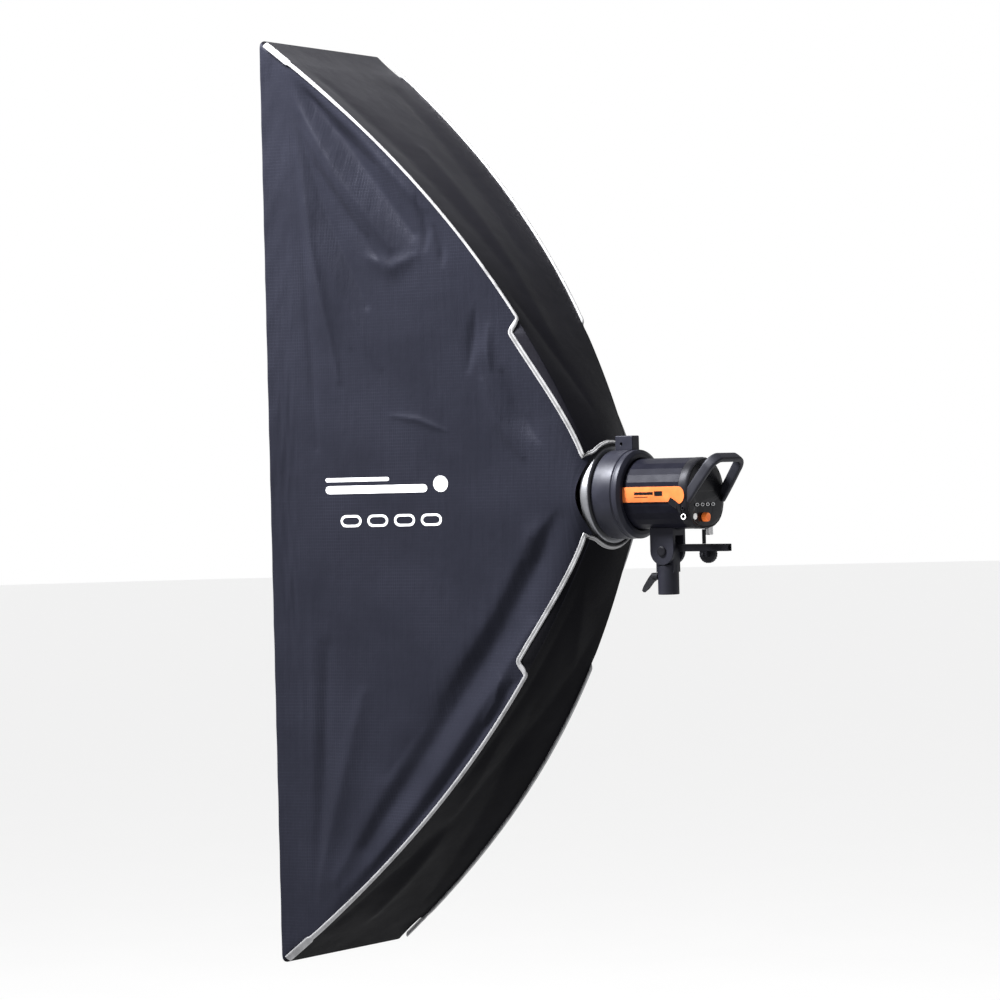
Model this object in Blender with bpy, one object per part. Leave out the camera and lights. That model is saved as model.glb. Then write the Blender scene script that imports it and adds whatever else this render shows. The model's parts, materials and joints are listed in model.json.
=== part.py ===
"""Strip softbox, 30 by 140 cm, on its speed ring, with the flash head and tilt bracket that hold it.

Metres, +Z up.  The origin is the centre of the stand socket's mouth.  Light leaves towards -Y, X is
across the box and Z runs along its 140 cm side.  Heights called "rel" are measured from the optical
axis, which lies AXIS_Z above the origin.
"""
import math

import bmesh
import bpy
from mathutils import Matrix, Vector

# ---- driving dimensions -------------------------------------------------------------------------
BOX_WIDTH = 0.300
BOX_HEIGHT = 1.400
AXIS_Z = 0.146
FRONT_Y = -0.617
HEM_DEPTH = 0.050
COVER_Y = -0.096
COVER_CORNER_X = 0.052
COVER_CORNER_Z = 0.056
SIDE_DRAWN_IN = 0.012
TOP_DRAWN_IN = 0.008
TOP_SIDE_MARGIN = 0.003
COVER_RING_RADIUS = 0.0765
SEAM_START_ANGLE = math.radians(68)
SEAM_END_ANGLE = math.radians(37.5)
SEAM_HANDLE = 0.301
FABRIC = 0.0012
LIP = 0.0020
DIFFUSER_MARGIN = (0.006, 0.008)
SCREEN_THICKNESS = 0.0015
SCREEN_CORNER = 0.03
BAFFLE_Y = -0.361
BAFFLE_HALF_WIDTH = 0.075
BAFFLE_HALF_HEIGHT = 0.36
GAP = 0.0003

ROD_RADIUS = 0.003
ROD_INSET = 0.009
ROD_INSET_X = 0.0075
PIN_REL_Z = 0.0626
PIN_RADIUS = 0.0015
SOCKET_RADIUS = 0.0055
SOCKET_LENGTH = 0.036
SOCKET_HALF_WIDTH = 0.0055
EAR = 0.0026
POCKET_RADIUS = 0.005
POCKET_LENGTH = 0.040

RING_FRONT_Y = -0.105
RING_REAR_Y = -0.091
RING_RADIUS = 0.070
RING_BORE = 0.0560
COLLAR_RADIUS = 0.065
COLLAR_END_Y = -0.0415
COLLAR_BORE = 0.0530
LUG_HALF_WIDTH = 0.0095
LUG_Y = (-0.0812, -0.0510)
LUG_REL_Z = (0.0620, 0.0855)
LUG_HOLE_RADIUS = 0.0025
LUG_HOLE = (-0.0705, 0.0735)

HEAD_RADIUS = 0.0516
HEAD_WALL = 0.003
HEAD_FACETS = 28
HEAD_FRONT_Y = -0.058
SHELL_END_Y = 0.052
REAR_Y = 0.0665
PANEL_SHARE = 0.92
SQUARENESS = 2.7
KEY_COUNT = 4
KEY_FIRST_X = 0.0247
KEY_PITCH = 0.0141
KEY_REL_Z = -0.0165
KEY_HALF = (0.0042, 0.0021)
TEST_RADIUS = 0.0046
DIAL_RADIUS = 0.0068

PIVOT_Z = 0.063
PLATE_IN = 0.0105
PLATE_OUT = 0.0165
PLATE_HALF_LENGTH = 0.020
TUBE_RADIUS = 0.0155
STUD_BORE = 0.0081
STUD_DEPTH = 0.034
TUBE_TOP = 0.0425
BOLT_RADIUS = 0.004
BAR_Y = (0.0205, 0.1055)
BAR_Z = 0.0674
BAR_HALF = 0.0053
BAR_BORE = 0.0042
CLAMP_Y = 0.0630
CLAMP_Z = 0.0582
CLAMP_STEM = 0.0020
KNOB_RADIUS = 0.0135
KNOB_LOBES = 22
STRUT_HALF_WIDTH = 0.0020
STRUT_Y = (0.0600, 0.0645)
SIDES = {"right": 1, "left": -1}
ENDS = {"upper": 1, "lower": -1}


# ---- helpers ------------------------------------------------------------------------------------
def clear_scene():
    for obj in list(bpy.data.objects):
        bpy.data.objects.remove(obj, do_unlink=True)


def material(name, colour, roughness, metallic=0.0):
    found = bpy.data.materials.get(name)
    if found:
        return found
    mat = bpy.data.materials.new(name)
    mat.use_nodes = True
    shader = mat.node_tree.nodes["Principled BSDF"]
    shader.inputs["Base Color"].default_value = (*colour, 1.0)
    shader.inputs["Roughness"].default_value = roughness
    shader.inputs["Metallic"].default_value = metallic
    return mat


def finish_mesh(name, bm, look, origin=(0, 0, 0), smooth=False):
    """Link a bmesh made in world coordinates, with the object's origin where its joint needs it."""
    bmesh.ops.recalc_face_normals(bm, faces=bm.faces)
    bmesh.ops.translate(bm, verts=bm.verts, vec=-Vector(origin))
    mesh = bpy.data.meshes.new(name)
    bm.to_mesh(mesh)
    bm.free()
    if smooth:
        mesh.shade_smooth()
        mesh.set_sharp_from_angle(angle=math.radians(35))
    obj = bpy.data.objects.new(name, mesh)
    obj.location = origin
    bpy.context.collection.objects.link(obj)
    if look:
        mesh.materials.append(look)
    return obj


def loft(rings, closed_path=False):
    """Join equal rings of points into one closed skin, capped at both ends unless the path closes."""
    bm = bmesh.new()
    loops = [[bm.verts.new(p) for p in ring] for ring in rings]
    count = len(loops[0])
    pairs = list(zip(loops, loops[1:]))
    if closed_path:
        pairs.append((loops[-1], loops[0]))
    for low, high in pairs:
        for k in range(count):
            n = (k + 1) % count
            bm.faces.new((low[k], low[n], high[n], high[k]))
    if not closed_path:
        bm.faces.new(loops[0])
        bm.faces.new(loops[-1])
    return bm


def turned(name, profile, look, centre=(0, 0, AXIS_Z), axis="Y", steps=32, origin=(0, 0, 0)):
    """Turn (radius, distance) points about an axis; the profile is a closed loop off the axis."""
    rings = []
    for k in range(steps):
        a = 2 * math.pi * k / steps
        rings.append([place(r * math.cos(a), r * math.sin(a), d, axis, centre) for r, d in profile])
    return finish_mesh(name, loft(rings, True), look, origin, smooth=True)


def place(u, v, along, axis, centre):
    """A point with two coordinates across an axis and one along it; along is absolute."""
    if axis == "X":
        return Vector((along, centre[1] + u, centre[2] + v))
    if axis == "Y":
        return Vector((centre[0] + u, along, centre[2] + v))
    return Vector((centre[0] + u, centre[1] + v, along))


def circle(radius, steps):
    return [(radius * math.cos(2 * math.pi * k / steps), radius * math.sin(2 * math.pi * k / steps))
            for k in range(steps)]


def stack(name, layers, look, axis, centre, origin=(0, 0, 0), smooth=True):
    """A solid from (outline, distance) layers along an axis."""
    rings = [[place(u, v, d, axis, centre) for u, v in outline] for outline, d in layers]
    return finish_mesh(name, loft(rings), look, origin, smooth)


def rod(name, radius, low, high, look, axis, centre, steps=20, origin=(0, 0, 0), bevel=0.0):
    layers = [(circle(radius, steps), low), (circle(radius, steps), high)]
    if bevel:
        small = circle(radius - bevel, steps)
        layers = [(small, low), (layers[0][0], low + bevel), (layers[0][0], high - bevel), (small, high)]
    return stack(name, layers, look, axis, centre, origin)


def block(name, low, high, look, origin=(0, 0, 0), bevel=0.0):
    bm = bmesh.new()
    bmesh.ops.create_cube(bm, size=1.0)
    size = Vector(high) - Vector(low)
    middle = (Vector(high) + Vector(low)) / 2
    bmesh.ops.transform(bm, matrix=Matrix.Translation(middle) @ Matrix.Diagonal((*size, 1)), verts=bm.verts)
    if bevel:
        bmesh.ops.bevel(bm, geom=bm.edges[:], offset=bevel, segments=2, profile=0.5, affect="EDGES")
    return finish_mesh(name, bm, look, origin)


def boolean(obj, other, operation):
    """Cut or join with a guide object, which is kept as a wire and left out of the model."""
    other.hide_render = True
    other.display_type = "WIRE"
    step = obj.modifiers.new(other.name, "BOOLEAN")
    step.operation = operation
    step.solver = "EXACT"
    step.object = other
    return obj


def tube(name, points, radius, look, steps=8, origin=(0, 0, 0), bore=0.0, bore_from=0):
    """A round bar along points in one plane-like curve; a bore can be opened from its far end."""
    rings = []
    points = [Vector(p) for p in points]
    across = Vector((1, 0, 0))
    for k, p in enumerate(points):
        ahead = points[min(k + 1, len(points) - 1)] - points[max(k - 1, 0)]
        side = (across - ahead * (across.dot(ahead) / ahead.length_squared)).normalized()
        other = ahead.normalized().cross(side)
        rings.append((p, side, other))

    def ring_at(index, r):
        p, side, other = rings[index]
        return [p + side * u + other * v for u, v in circle(r, steps)]

    skin = [ring_at(k, radius) for k in range(len(points))]
    if bore:
        skin += [ring_at(k, bore) for k in range(len(points) - 1, bore_from - 1, -1)]
    return finish_mesh(name, loft(skin), look, origin, smooth=True)


# ---- looks --------------------------------------------------------------------------------------
def looks():
    return {
        "ripstop": material("black_ripstop", (0.022, 0.023, 0.028), 0.62),
        "hem": material("black_hem_tape", (0.016, 0.016, 0.018), 0.7),
        "diffuser": material("white_diffuser", (0.86, 0.86, 0.85), 0.8),
        "baffle": material("inner_baffle_cloth", (0.82, 0.82, 0.8), 0.8),
        "rod": material("fibreglass_rod", (0.03, 0.03, 0.032), 0.35),
        "webbing": material("pocket_webbing", (0.02, 0.02, 0.022), 0.8),
        "aluminium": material("silver_ring", (0.62, 0.63, 0.65), 0.32, 1.0),
        "steel": material("steel_pin", (0.55, 0.55, 0.56), 0.3, 1.0),
        "collar": material("black_collar", (0.022, 0.022, 0.026), 0.42),
        "shell": material("grey_shell", (0.075, 0.078, 0.098), 0.38),
        "housing": material("black_housing", (0.02, 0.02, 0.024), 0.35),
        "panel": material("gloss_panel", (0.008, 0.008, 0.01), 0.12),
        "display": material("display_glass", (0.01, 0.013, 0.015), 0.06),
        "orange": material("orange_plastic", (0.9, 0.26, 0.06), 0.4),
        "white": material("white_button", (0.82, 0.82, 0.8), 0.4),
        "key": material("black_key", (0.05, 0.05, 0.055), 0.45),
        "handle": material("handle_plastic", (0.035, 0.036, 0.045), 0.5),
        "bracket": material("bracket_plastic", (0.05, 0.051, 0.062), 0.45),
        "rubber": material("knob_rubber", (0.018, 0.018, 0.02), 0.65),
        "ceramic": material("lamp_plate", (0.75, 0.74, 0.7), 0.5),
        "lamp": material("lamp_glass", (0.9, 0.9, 0.86), 0.1),
    }


# ---- the cover's curve --------------------------------------------------------------------------
def corner_x(rel_z):
    """Half width of the cover where its corner seam is rel_z from the axis."""
    slope = (BOX_WIDTH / 2 - COVER_CORNER_X) / (BOX_HEIGHT / 2 - COVER_CORNER_Z)
    return COVER_CORNER_X + slope * (rel_z - COVER_CORNER_Z)


def seam(t):
    """The corner seam, a rod's long bow from the ring (t=0) to the front corner (t=1): (x, y, z)."""
    start = Vector((COVER_Y, COVER_CORNER_Z))
    end = Vector((FRONT_Y, BOX_HEIGHT / 2))
    first = start + SEAM_HANDLE * Vector((-math.cos(SEAM_START_ANGLE), math.sin(SEAM_START_ANGLE)))
    last = end - SEAM_HANDLE * Vector((-math.cos(SEAM_END_ANGLE), math.sin(SEAM_END_ANGLE)))
    s = 1 - t
    p = s**3 * start + 3 * s * s * t * first + 3 * s * t * t * last + t**3 * end
    return Vector((corner_x(p.y), p.x, p.y))


def seam_inner(t, inset, inset_x):
    """A point inside the seam, moved square to the bow and towards the middle of the box."""
    step = 1e-4
    ahead = seam(min(t + step, 1)) - seam(max(t - step, 0))
    normal = Vector((0, -ahead.z, ahead.y)).normalized()
    p = seam(t) + inset * normal
    return Vector((p.x - inset_x, p.y, p.z))


def find_t(test):
    """The place along the seam where test first turns true."""
    low, high = 0.0, 1.0
    for _ in range(40):
        middle = (low + high) / 2
        if test(middle):
            high = middle
        else:
            low = middle
    return high


def hem_t():
    return find_t(lambda t: seam(t).y <= FRONT_Y + HEM_DEPTH)


def bulge(t, at_ring, pulled_in):
    """How far a panel's middle stands out: round at the ring, drawn in along the bow, flat at front."""
    return at_ring * (1 - t) ** 4 - pulled_in * math.sin(math.pi * t)


def side_point(t, v):
    p = seam(t)
    out = bulge(t, COVER_RING_RADIUS - COVER_CORNER_X, SIDE_DRAWN_IN)
    return Vector((p.x + out * (1 - v * v), p.y, p.z * v))


def top_point(t, u, margin):
    p = seam(t)
    out = bulge(t, COVER_RING_RADIUS - COVER_CORNER_Z, TOP_DRAWN_IN)
    return Vector(((p.x - margin) * u, p.y, p.z + out * (1 - u * u)))


# ---- soft parts ---------------------------------------------------------------------------------
def sheet(name, point, rows, columns, outward, look):
    bm = bmesh.new()
    grid = [[bm.verts.new(point(r / rows, 2 * c / columns - 1)) for c in range(columns + 1)]
            for r in range(rows + 1)]
    for r in range(rows):
        for c in range(columns):
            bm.faces.new((grid[r][c], grid[r][c + 1], grid[r + 1][c + 1], grid[r + 1][c]))
    bm.normal_update()
    if sum((f.normal for f in bm.faces), Vector()).dot(Vector(outward)) < 0:
        bmesh.ops.reverse_faces(bm, faces=bm.faces)
    mesh = bpy.data.meshes.new(name)
    bm.to_mesh(mesh)
    bm.free()
    mesh.shade_smooth()
    obj = bpy.data.objects.new(name, mesh)
    bpy.context.collection.objects.link(obj)
    mesh.materials.append(look)
    thick = obj.modifiers.new("cloth", "SOLIDIFY")
    thick.thickness = FABRIC
    thick.offset = -1
    thick.use_even_offset = True
    return obj


def make_panels(look):
    end = hem_t() - 0.001
    lift = Vector((0, 0, AXIS_Z))
    for side, s in SIDES.items():
        def right_or_left(t, v, s=s):
            p = side_point(t * end, v)
            return Vector((p.x * s, p.y, p.z)) + lift
        sheet(f"side_panel_{side}", right_or_left, 16, 8, (s, 0, 0), look["ripstop"])
    for name, s in (("top_panel", 1), ("bottom_panel", -1)):
        def over_or_under(t, u, s=s):
            p = top_point(t * end, u, TOP_SIDE_MARGIN)
            return Vector((p.x, p.y, p.z * s)) + lift
        sheet(name, over_or_under, 16, 6, (0, 0.5, s), look["ripstop"])


def rectangle(half_x, half_z, cut=0.0):
    if not cut:
        return [(half_x, half_z), (-half_x, half_z), (-half_x, -half_z), (half_x, -half_z)]
    points = []
    for sx, sz in ((1, 1), (-1, 1), (-1, -1), (1, -1)):
        pair = [(sx * half_x, sz * (half_z - cut)), (sx * (half_x - cut), sz * half_z)]
        points += pair if sx * sz > 0 else pair[::-1]
    return points


def make_front(look):
    """The recessed lip round the front, the diffuser at its back and the baffle half way in."""
    centre = (0, 0, AXIS_Z)
    start = hem_t() + 0.001
    spots = [seam(start), seam((start + 1) / 2), seam(1)]
    outer = [(rectangle(p.x, p.z), p.y) for p in spots]
    inner = [(rectangle(p.x - LIP, p.z - 1.6 * LIP), p.y) for p in reversed(spots)]
    rings = [[place(u, v, d, "Y", centre) for u, v in outline] for outline, d in outer + inner]
    finish_mesh("front_lip", loft(rings, True), look["hem"])
    edge = seam(hem_t())
    back = edge.y + 0.001
    face = rectangle(edge.x - DIFFUSER_MARGIN[0], edge.z - DIFFUSER_MARGIN[1], SCREEN_CORNER)
    layers = [(face, back), (face, back + SCREEN_THICKNESS)]
    stack("front_diffuser", layers, look["diffuser"], "Y", centre, smooth=False)
    inside = rectangle(BAFFLE_HALF_WIDTH, BAFFLE_HALF_HEIGHT, SCREEN_CORNER)
    layers = [(inside, BAFFLE_Y), (inside, BAFFLE_Y + SCREEN_THICKNESS)]
    stack("inner_baffle", layers, look["baffle"], "Y", centre, smooth=False)


# ---- rods and speed ring ------------------------------------------------------------------------
def pin_t():
    return find_t(lambda t: seam_inner(t, ROD_INSET, ROD_INSET_X).z >= PIN_REL_Z)


def rod_path(first, last, count):
    return [seam_inner(first + (last - first) * k / count, ROD_INSET, ROD_INSET_X)
            for k in range(count + 1)]


def flipped(p, sx, sz):
    return Vector((p.x * sx, p.y, p.z * sz + AXIS_Z))


def make_rods(look):
    t_pin = pin_t()
    pin = seam_inner(t_pin, ROD_INSET, ROD_INSET_X)
    ahead = (seam_inner(t_pin + 0.02, ROD_INSET, ROD_INSET_X) - pin).normalized()
    t_end = 0.985
    tip = seam_inner(t_end, ROD_INSET, ROD_INSET_X)
    back = (seam_inner(t_end - 0.02, ROD_INSET, ROD_INSET_X) - tip).normalized()
    for end, sz in ENDS.items():
        for side, sx in SIDES.items():
            tag = f"{end}_{side}"
            origin = flipped(pin, sx, sz)
            path = [flipped(p, sx, sz) for p in rod_path(t_pin + 0.0125, t_end, 22)]
            tube(f"rod_{tag}", path, ROD_RADIUS, look["rod"], 8, origin)
            reach = [flipped(pin + ahead * d, sx, sz) for d in (0.0, 0.009, SOCKET_LENGTH)]
            socket = tube(f"rod_socket_{tag}", reach, SOCKET_RADIUS - 0.0008, look["aluminium"], 12, origin,
                          ROD_RADIUS + 0.0006, 1)
            knuckle_x = (origin.x - SOCKET_HALF_WIDTH, origin.x + SOCKET_HALF_WIDTH)
            knuckle = rod(f"guide_knuckle_{tag}", SOCKET_RADIUS, *knuckle_x, None, "X", origin, 16, origin)
            boolean(socket, knuckle, "UNION")
            hole = rod(f"guide_pin_hole_{tag}", PIN_RADIUS + GAP, origin.x - 0.02, origin.x + 0.02, None,
                       "X", origin, 12, origin)
            boolean(socket, hole, "DIFFERENCE")
            outer_x = SOCKET_HALF_WIDTH + GAP + EAR
            rod(f"rod_pin_{tag}", PIN_RADIUS, origin.x - outer_x - 0.001, origin.x + outer_x + 0.001,
                look["steel"], "X", origin, 12, origin)
            cup = [flipped(tip + back * d, sx, sz) for d in (-0.004, -0.002, POCKET_LENGTH)]
            tube(f"corner_pocket_{tag}", cup, POCKET_RADIUS, look["webbing"], 10, origin,
                 ROD_RADIUS + 0.0006, 1)
    return pin


def make_ring(look, pin):
    """Silver ring whose four pairs of ears carry the rod sockets on cross pins."""
    chamfer = 0.002
    profile = [(RING_BORE, RING_FRONT_Y), (RING_RADIUS - chamfer, RING_FRONT_Y),
               (RING_RADIUS, RING_FRONT_Y + chamfer), (RING_RADIUS, RING_REAR_Y - chamfer),
               (RING_RADIUS - chamfer, RING_REAR_Y), (RING_BORE, RING_REAR_Y)]
    ring = turned("speed_ring", profile, look["aluminium"], steps=40)
    near = SOCKET_HALF_WIDTH + GAP
    for end, sz in ENDS.items():
        for side, sx in SIDES.items():
            centre = flipped(pin, sx, sz)
            for tag, x in (("in", -near - EAR), ("out", near)):
                depth = 0.026 if tag == "in" else 0.034
                x_low = pin.x + x
                xs = sorted((sx * x_low, sx * (x_low + EAR)))
                zs = sorted((AXIS_Z + sz * (pin.z - depth), AXIS_Z + sz * (pin.z + 0.0034)))
                ear = block(f"guide_ear_{tag}_{end}_{side}", (xs[0], pin.y - 0.0052, zs[0]),
                            (xs[1], RING_FRONT_Y + 0.002, zs[1]), None)
                boolean(ring, ear, "UNION")
            hole = rod(f"guide_ring_hole_{end}_{side}", PIN_RADIUS + GAP, centre.x - 0.015,
                       centre.x + 0.015, None, "X", centre, 12)
            boolean(ring, hole, "DIFFERENCE")


def make_collar(look):
    """Black mount collar on the flash head, with the drilled lug on its top."""
    front = RING_REAR_Y + GAP
    groove, rim = COLLAR_RADIUS - 0.003, COLLAR_RADIUS - 0.0065
    profile = [(COLLAR_BORE, front), (COLLAR_RADIUS - 0.002, front), (COLLAR_RADIUS, front + 0.004),
               (COLLAR_RADIUS, LUG_Y[1]), (groove, LUG_Y[1] + 0.0015), (groove + 0.0005, LUG_Y[1] + 0.0050),
               (rim, COLLAR_END_Y), (COLLAR_BORE, COLLAR_END_Y)]
    turned("mount_collar", profile, look["collar"], steps=48)
    lug = block("top_lug", (-LUG_HALF_WIDTH, LUG_Y[0], AXIS_Z + LUG_REL_Z[0]),
                (LUG_HALF_WIDTH, LUG_Y[1], AXIS_Z + LUG_REL_Z[1]), look["collar"], bevel=0.0015)
    barrel = rod("guide_collar_round", COLLAR_RADIUS + GAP, RING_FRONT_Y, 0.0, None, "Y", (0, 0, AXIS_Z), 48)
    boolean(lug, barrel, "DIFFERENCE")
    hole = rod("guide_lug_hole", LUG_HOLE_RADIUS, -2 * LUG_HALF_WIDTH, 2 * LUG_HALF_WIDTH, None, "X",
               (0, LUG_HOLE[0], AXIS_Z + LUG_HOLE[1]), 16)
    boolean(lug, hole, "DIFFERENCE")


# ---- flash head ---------------------------------------------------------------------------------
def rear_outline(scale, steps=36):
    """Round above the axis and squarer below it."""
    points = []
    for k in range(steps):
        a = 2 * math.pi * k / steps
        c, s = math.cos(a), math.sin(a)
        power = 2.0 if s >= 0 else SQUARENESS
        r = HEAD_RADIUS * scale / (abs(c) ** power + abs(s) ** power) ** (1 / power)
        points.append((r * c, r * s))
    return points


def make_head(look):
    centre = (0, 0, AXIS_Z)
    turn = math.pi / HEAD_FACETS
    outer = [(HEAD_RADIUS * math.cos(a), HEAD_RADIUS * math.sin(a))
             for a in (2 * math.pi * k / HEAD_FACETS + turn for k in range(HEAD_FACETS))]
    share = 1 - HEAD_WALL / HEAD_RADIUS
    inner = [(u * share, v * share) for u, v in outer]
    layers = [(outer, HEAD_FRONT_Y), (outer, SHELL_END_Y), (inner, SHELL_END_Y), (inner, HEAD_FRONT_Y)]
    rings = [[place(u, v, d, "Y", centre) for u, v in outline] for outline, d in layers]
    finish_mesh("head_shell", loft(rings, True), look["shell"])

    start = SHELL_END_Y + GAP
    steps = [(1.0, start), (1.0, REAR_Y - 0.0035), (0.955, REAR_Y), (PANEL_SHARE + 0.006, REAR_Y),
             (PANEL_SHARE + 0.006, REAR_Y - 0.0025), (0.3, REAR_Y - 0.0025), (0.3, REAR_Y - 0.005),
             (0.93, REAR_Y - 0.005), (0.93, start)]
    layers = [(rear_outline(scale), d) for scale, d in steps]
    rings = [[place(u, v, d, "Y", centre) for u, v in outline] for outline, d in layers]
    housing = finish_mesh("rear_housing", loft(rings, True), look["housing"], smooth=True)
    panel_low = REAR_Y - 0.0022
    panel = stack("rear_panel", [(rear_outline(PANEL_SHARE), panel_low), (rear_outline(PANEL_SHARE), REAR_Y)],
                  look["panel"], "Y", centre)
    window = rectangle(0.021, 0.009)
    glass_centre = (0, 0, AXIS_Z + 0.011)
    stack("display_window", [(window, REAR_Y + GAP), (rectangle(0.0203, 0.0083), REAR_Y + 0.0013)],
          look["display"], "Y", glass_centre, smooth=False)
    make_controls(look, housing, panel)

    rod("lamp_plate", HEAD_RADIUS - HEAD_WALL - 0.001, -0.052, -0.049, look["ceramic"], "Y", centre, 36)
    tube_points = [(0.026 + 0.004 * math.cos(a), -0.0630 + 0.004 * math.sin(a))
                   for a in (2 * math.pi * k / 8 for k in range(8))]
    turned("flash_tube", tube_points, look["lamp"], steps=28)
    bulb = [(0.008, -0.0523), (0.009, -0.062), (0.013, -0.070), (0.013, -0.078), (0.009, -0.085),
            (0.003, -0.088)]
    stack("modelling_lamp", [(circle(r, 20), d) for r, d in bulb], look["lamp"], "Y", centre)


def make_controls(look, housing, panel):
    """Keys, test button and dial on the rear panel, each on a stem in its own hole."""
    for k in range(KEY_COUNT):
        x = KEY_FIRST_X - KEY_PITCH * k
        origin = (x, REAR_Y, AXIS_Z + KEY_REL_Z)
        oval = [(KEY_HALF[0] * u, KEY_HALF[1] * v) for u, v in circle(1.0, 16)]
        wide = [(u * 1.16, v * 1.3) for u, v in oval]
        stack(f"menu_key_{k + 1}", [(oval, REAR_Y - 0.0006), (oval, REAR_Y + 0.0012)], look["key"], "Y",
              origin, origin)
        hole = stack(f"guide_key_hole_{k + 1}", [(wide, REAR_Y - 0.0019), (wide, REAR_Y + 0.01)], None, "Y",
                     origin)
        boolean(panel, hole, "DIFFERENCE")
    test = (0.0297, REAR_Y, AXIS_Z - 0.033)
    rod("test_button", TEST_RADIUS, REAR_Y - 0.0006, REAR_Y + 0.0014, look["white"], "Y", test, 20, test,
        0.0004)
    test_hole = rod("guide_test_hole", TEST_RADIUS + 0.0004, REAR_Y - 0.0019, REAR_Y + 0.01, None, "Y", test,
                    20)
    boolean(panel, test_hole, "DIFFERENCE")
    dial = (0.0066, REAR_Y, AXIS_Z - 0.0345)
    grip = [(circle(DIAL_RADIUS, 24), REAR_Y + 0.0005), (circle(DIAL_RADIUS - 0.0002, 24), REAR_Y + 0.0075),
            (circle(DIAL_RADIUS - 0.0010, 24), REAR_Y + 0.0085)]
    stack("power_dial", grip, look["orange"], "Y", dial, dial)
    jack = (0, 0.0592, AXIS_Z - 0.021)
    socket = (0, 0.0592, AXIS_Z - 0.033)
    for name, spot, radius, reach, tone in (("sync_jack", jack, 0.003, 0.0505, "steel"),
                                            ("remote_socket", socket, 0.004, 0.0480, "white")):
        piece = rod(name, radius, reach - 0.006, reach, look[tone], "X", spot, 16)
        boolean(piece, rod(f"guide_{name}_bore", radius * 0.55, reach - 0.004, reach + 0.01, None, "X", spot,
                           12), "DIFFERENCE")
        boolean(housing, rod(f"guide_{name}_seat", radius + GAP, reach - 0.0075, reach + 0.02, None, "X",
                             spot, 16), "DIFFERENCE")
    inlet = (-0.018, 0.0595, 0)
    plug = rod("power_inlet", 0.006, 0.0850, 0.0978, look["steel"], "Z", inlet, 24, bevel=0.0008)
    boolean(plug, rod("guide_inlet_bore", 0.004, 0.080, 0.094, None, "Z", inlet, 20), "DIFFERENCE")
    boolean(housing, rod("guide_inlet_seat", 0.006 + GAP, 0.07, 0.0981, None, "Z", inlet, 24), "DIFFERENCE")


def make_trim(look):
    """The orange stripe along each side, and the dark wedge below its rear end."""
    inner, outer = HEAD_RADIUS + GAP, HEAD_RADIUS + 0.0012
    for side, s in SIDES.items():
        arc = [math.radians(a) for a in range(-12, 15, 3)]
        shape = [(s * outer * math.cos(a), outer * math.sin(a)) for a in arc]
        shape += [(s * inner * math.cos(a), inner * math.sin(a)) for a in reversed(arc)]
        span = [(shape, COLLAR_END_Y + 0.001), (shape, SHELL_END_Y - 0.0005)]
        stack(f"orange_stripe_{side}", span, look["orange"], "Y", (0, 0, AXIS_Z), smooth=False)
    arc = [math.radians(a) for a in range(-27, -13, 3)]
    shape = [(outer * math.cos(a), outer * math.sin(a)) for a in arc]
    shape += [(inner * math.cos(a), inner * math.sin(a)) for a in reversed(arc)]
    stack("side_wedge", [(shape, 0.038), (shape, 0.0515)], look["housing"], "Y", (0, 0, AXIS_Z), smooth=False)


def make_handle(look):
    """A bail that rises rearwards from the rim of the rear housing."""
    root = Vector((0, REAR_Y - 0.004, AXIS_Z - 0.009))
    along = Vector((0, 0.040, 0.055)).normalized()
    normal = Vector((0, -along.z, along.y))
    leg_x, top_x, reach, corner, steps = 0.0462, 0.0405, 0.073, 0.019, 9
    half = [(leg_x, 0.0), (leg_x - 0.0010, 0.015), (leg_x - 0.0026, 0.032), (top_x, reach - corner)]
    for k in range(1, steps + 1):
        a = math.pi / 2 * k / steps
        half.append((top_x - corner * (1 - math.cos(a)), reach - corner * (1 - math.sin(a))))
    path = half + [(-x, s) for x, s in reversed(half)]
    thick, wide = 0.0042, 0.0078
    section = [(math.copysign(abs(math.cos(a)) ** 0.55, math.cos(a)),
                math.copysign(abs(math.sin(a)) ** 0.4, math.sin(a)))
               for a in (2 * math.pi * (k + 0.5) / 16 for k in range(16))]
    rings = []
    for k, (x, s) in enumerate(path):
        nxt, prv = path[min(k + 1, len(path) - 1)], path[max(k - 1, 0)]
        ahead = Vector((nxt[0] - prv[0], nxt[1] - prv[1])).normalized()
        side = Vector((ahead.y, -ahead.x))
        middle = root + Vector((x, 0, 0)) + along * s
        across = Vector((side.x, 0, 0)) + along * side.y
        rings.append([middle + across * (u * thick) + normal * (v * wide) for u, v in section])
    bail = finish_mesh("carry_handle", loft(rings), look["handle"], smooth=True)
    cutter = block("guide_handle_foot", (-0.08, 0.0, 0.05), (0.08, REAR_Y + GAP, 0.25), None)
    boolean(bail, cutter, "DIFFERENCE")


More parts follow.
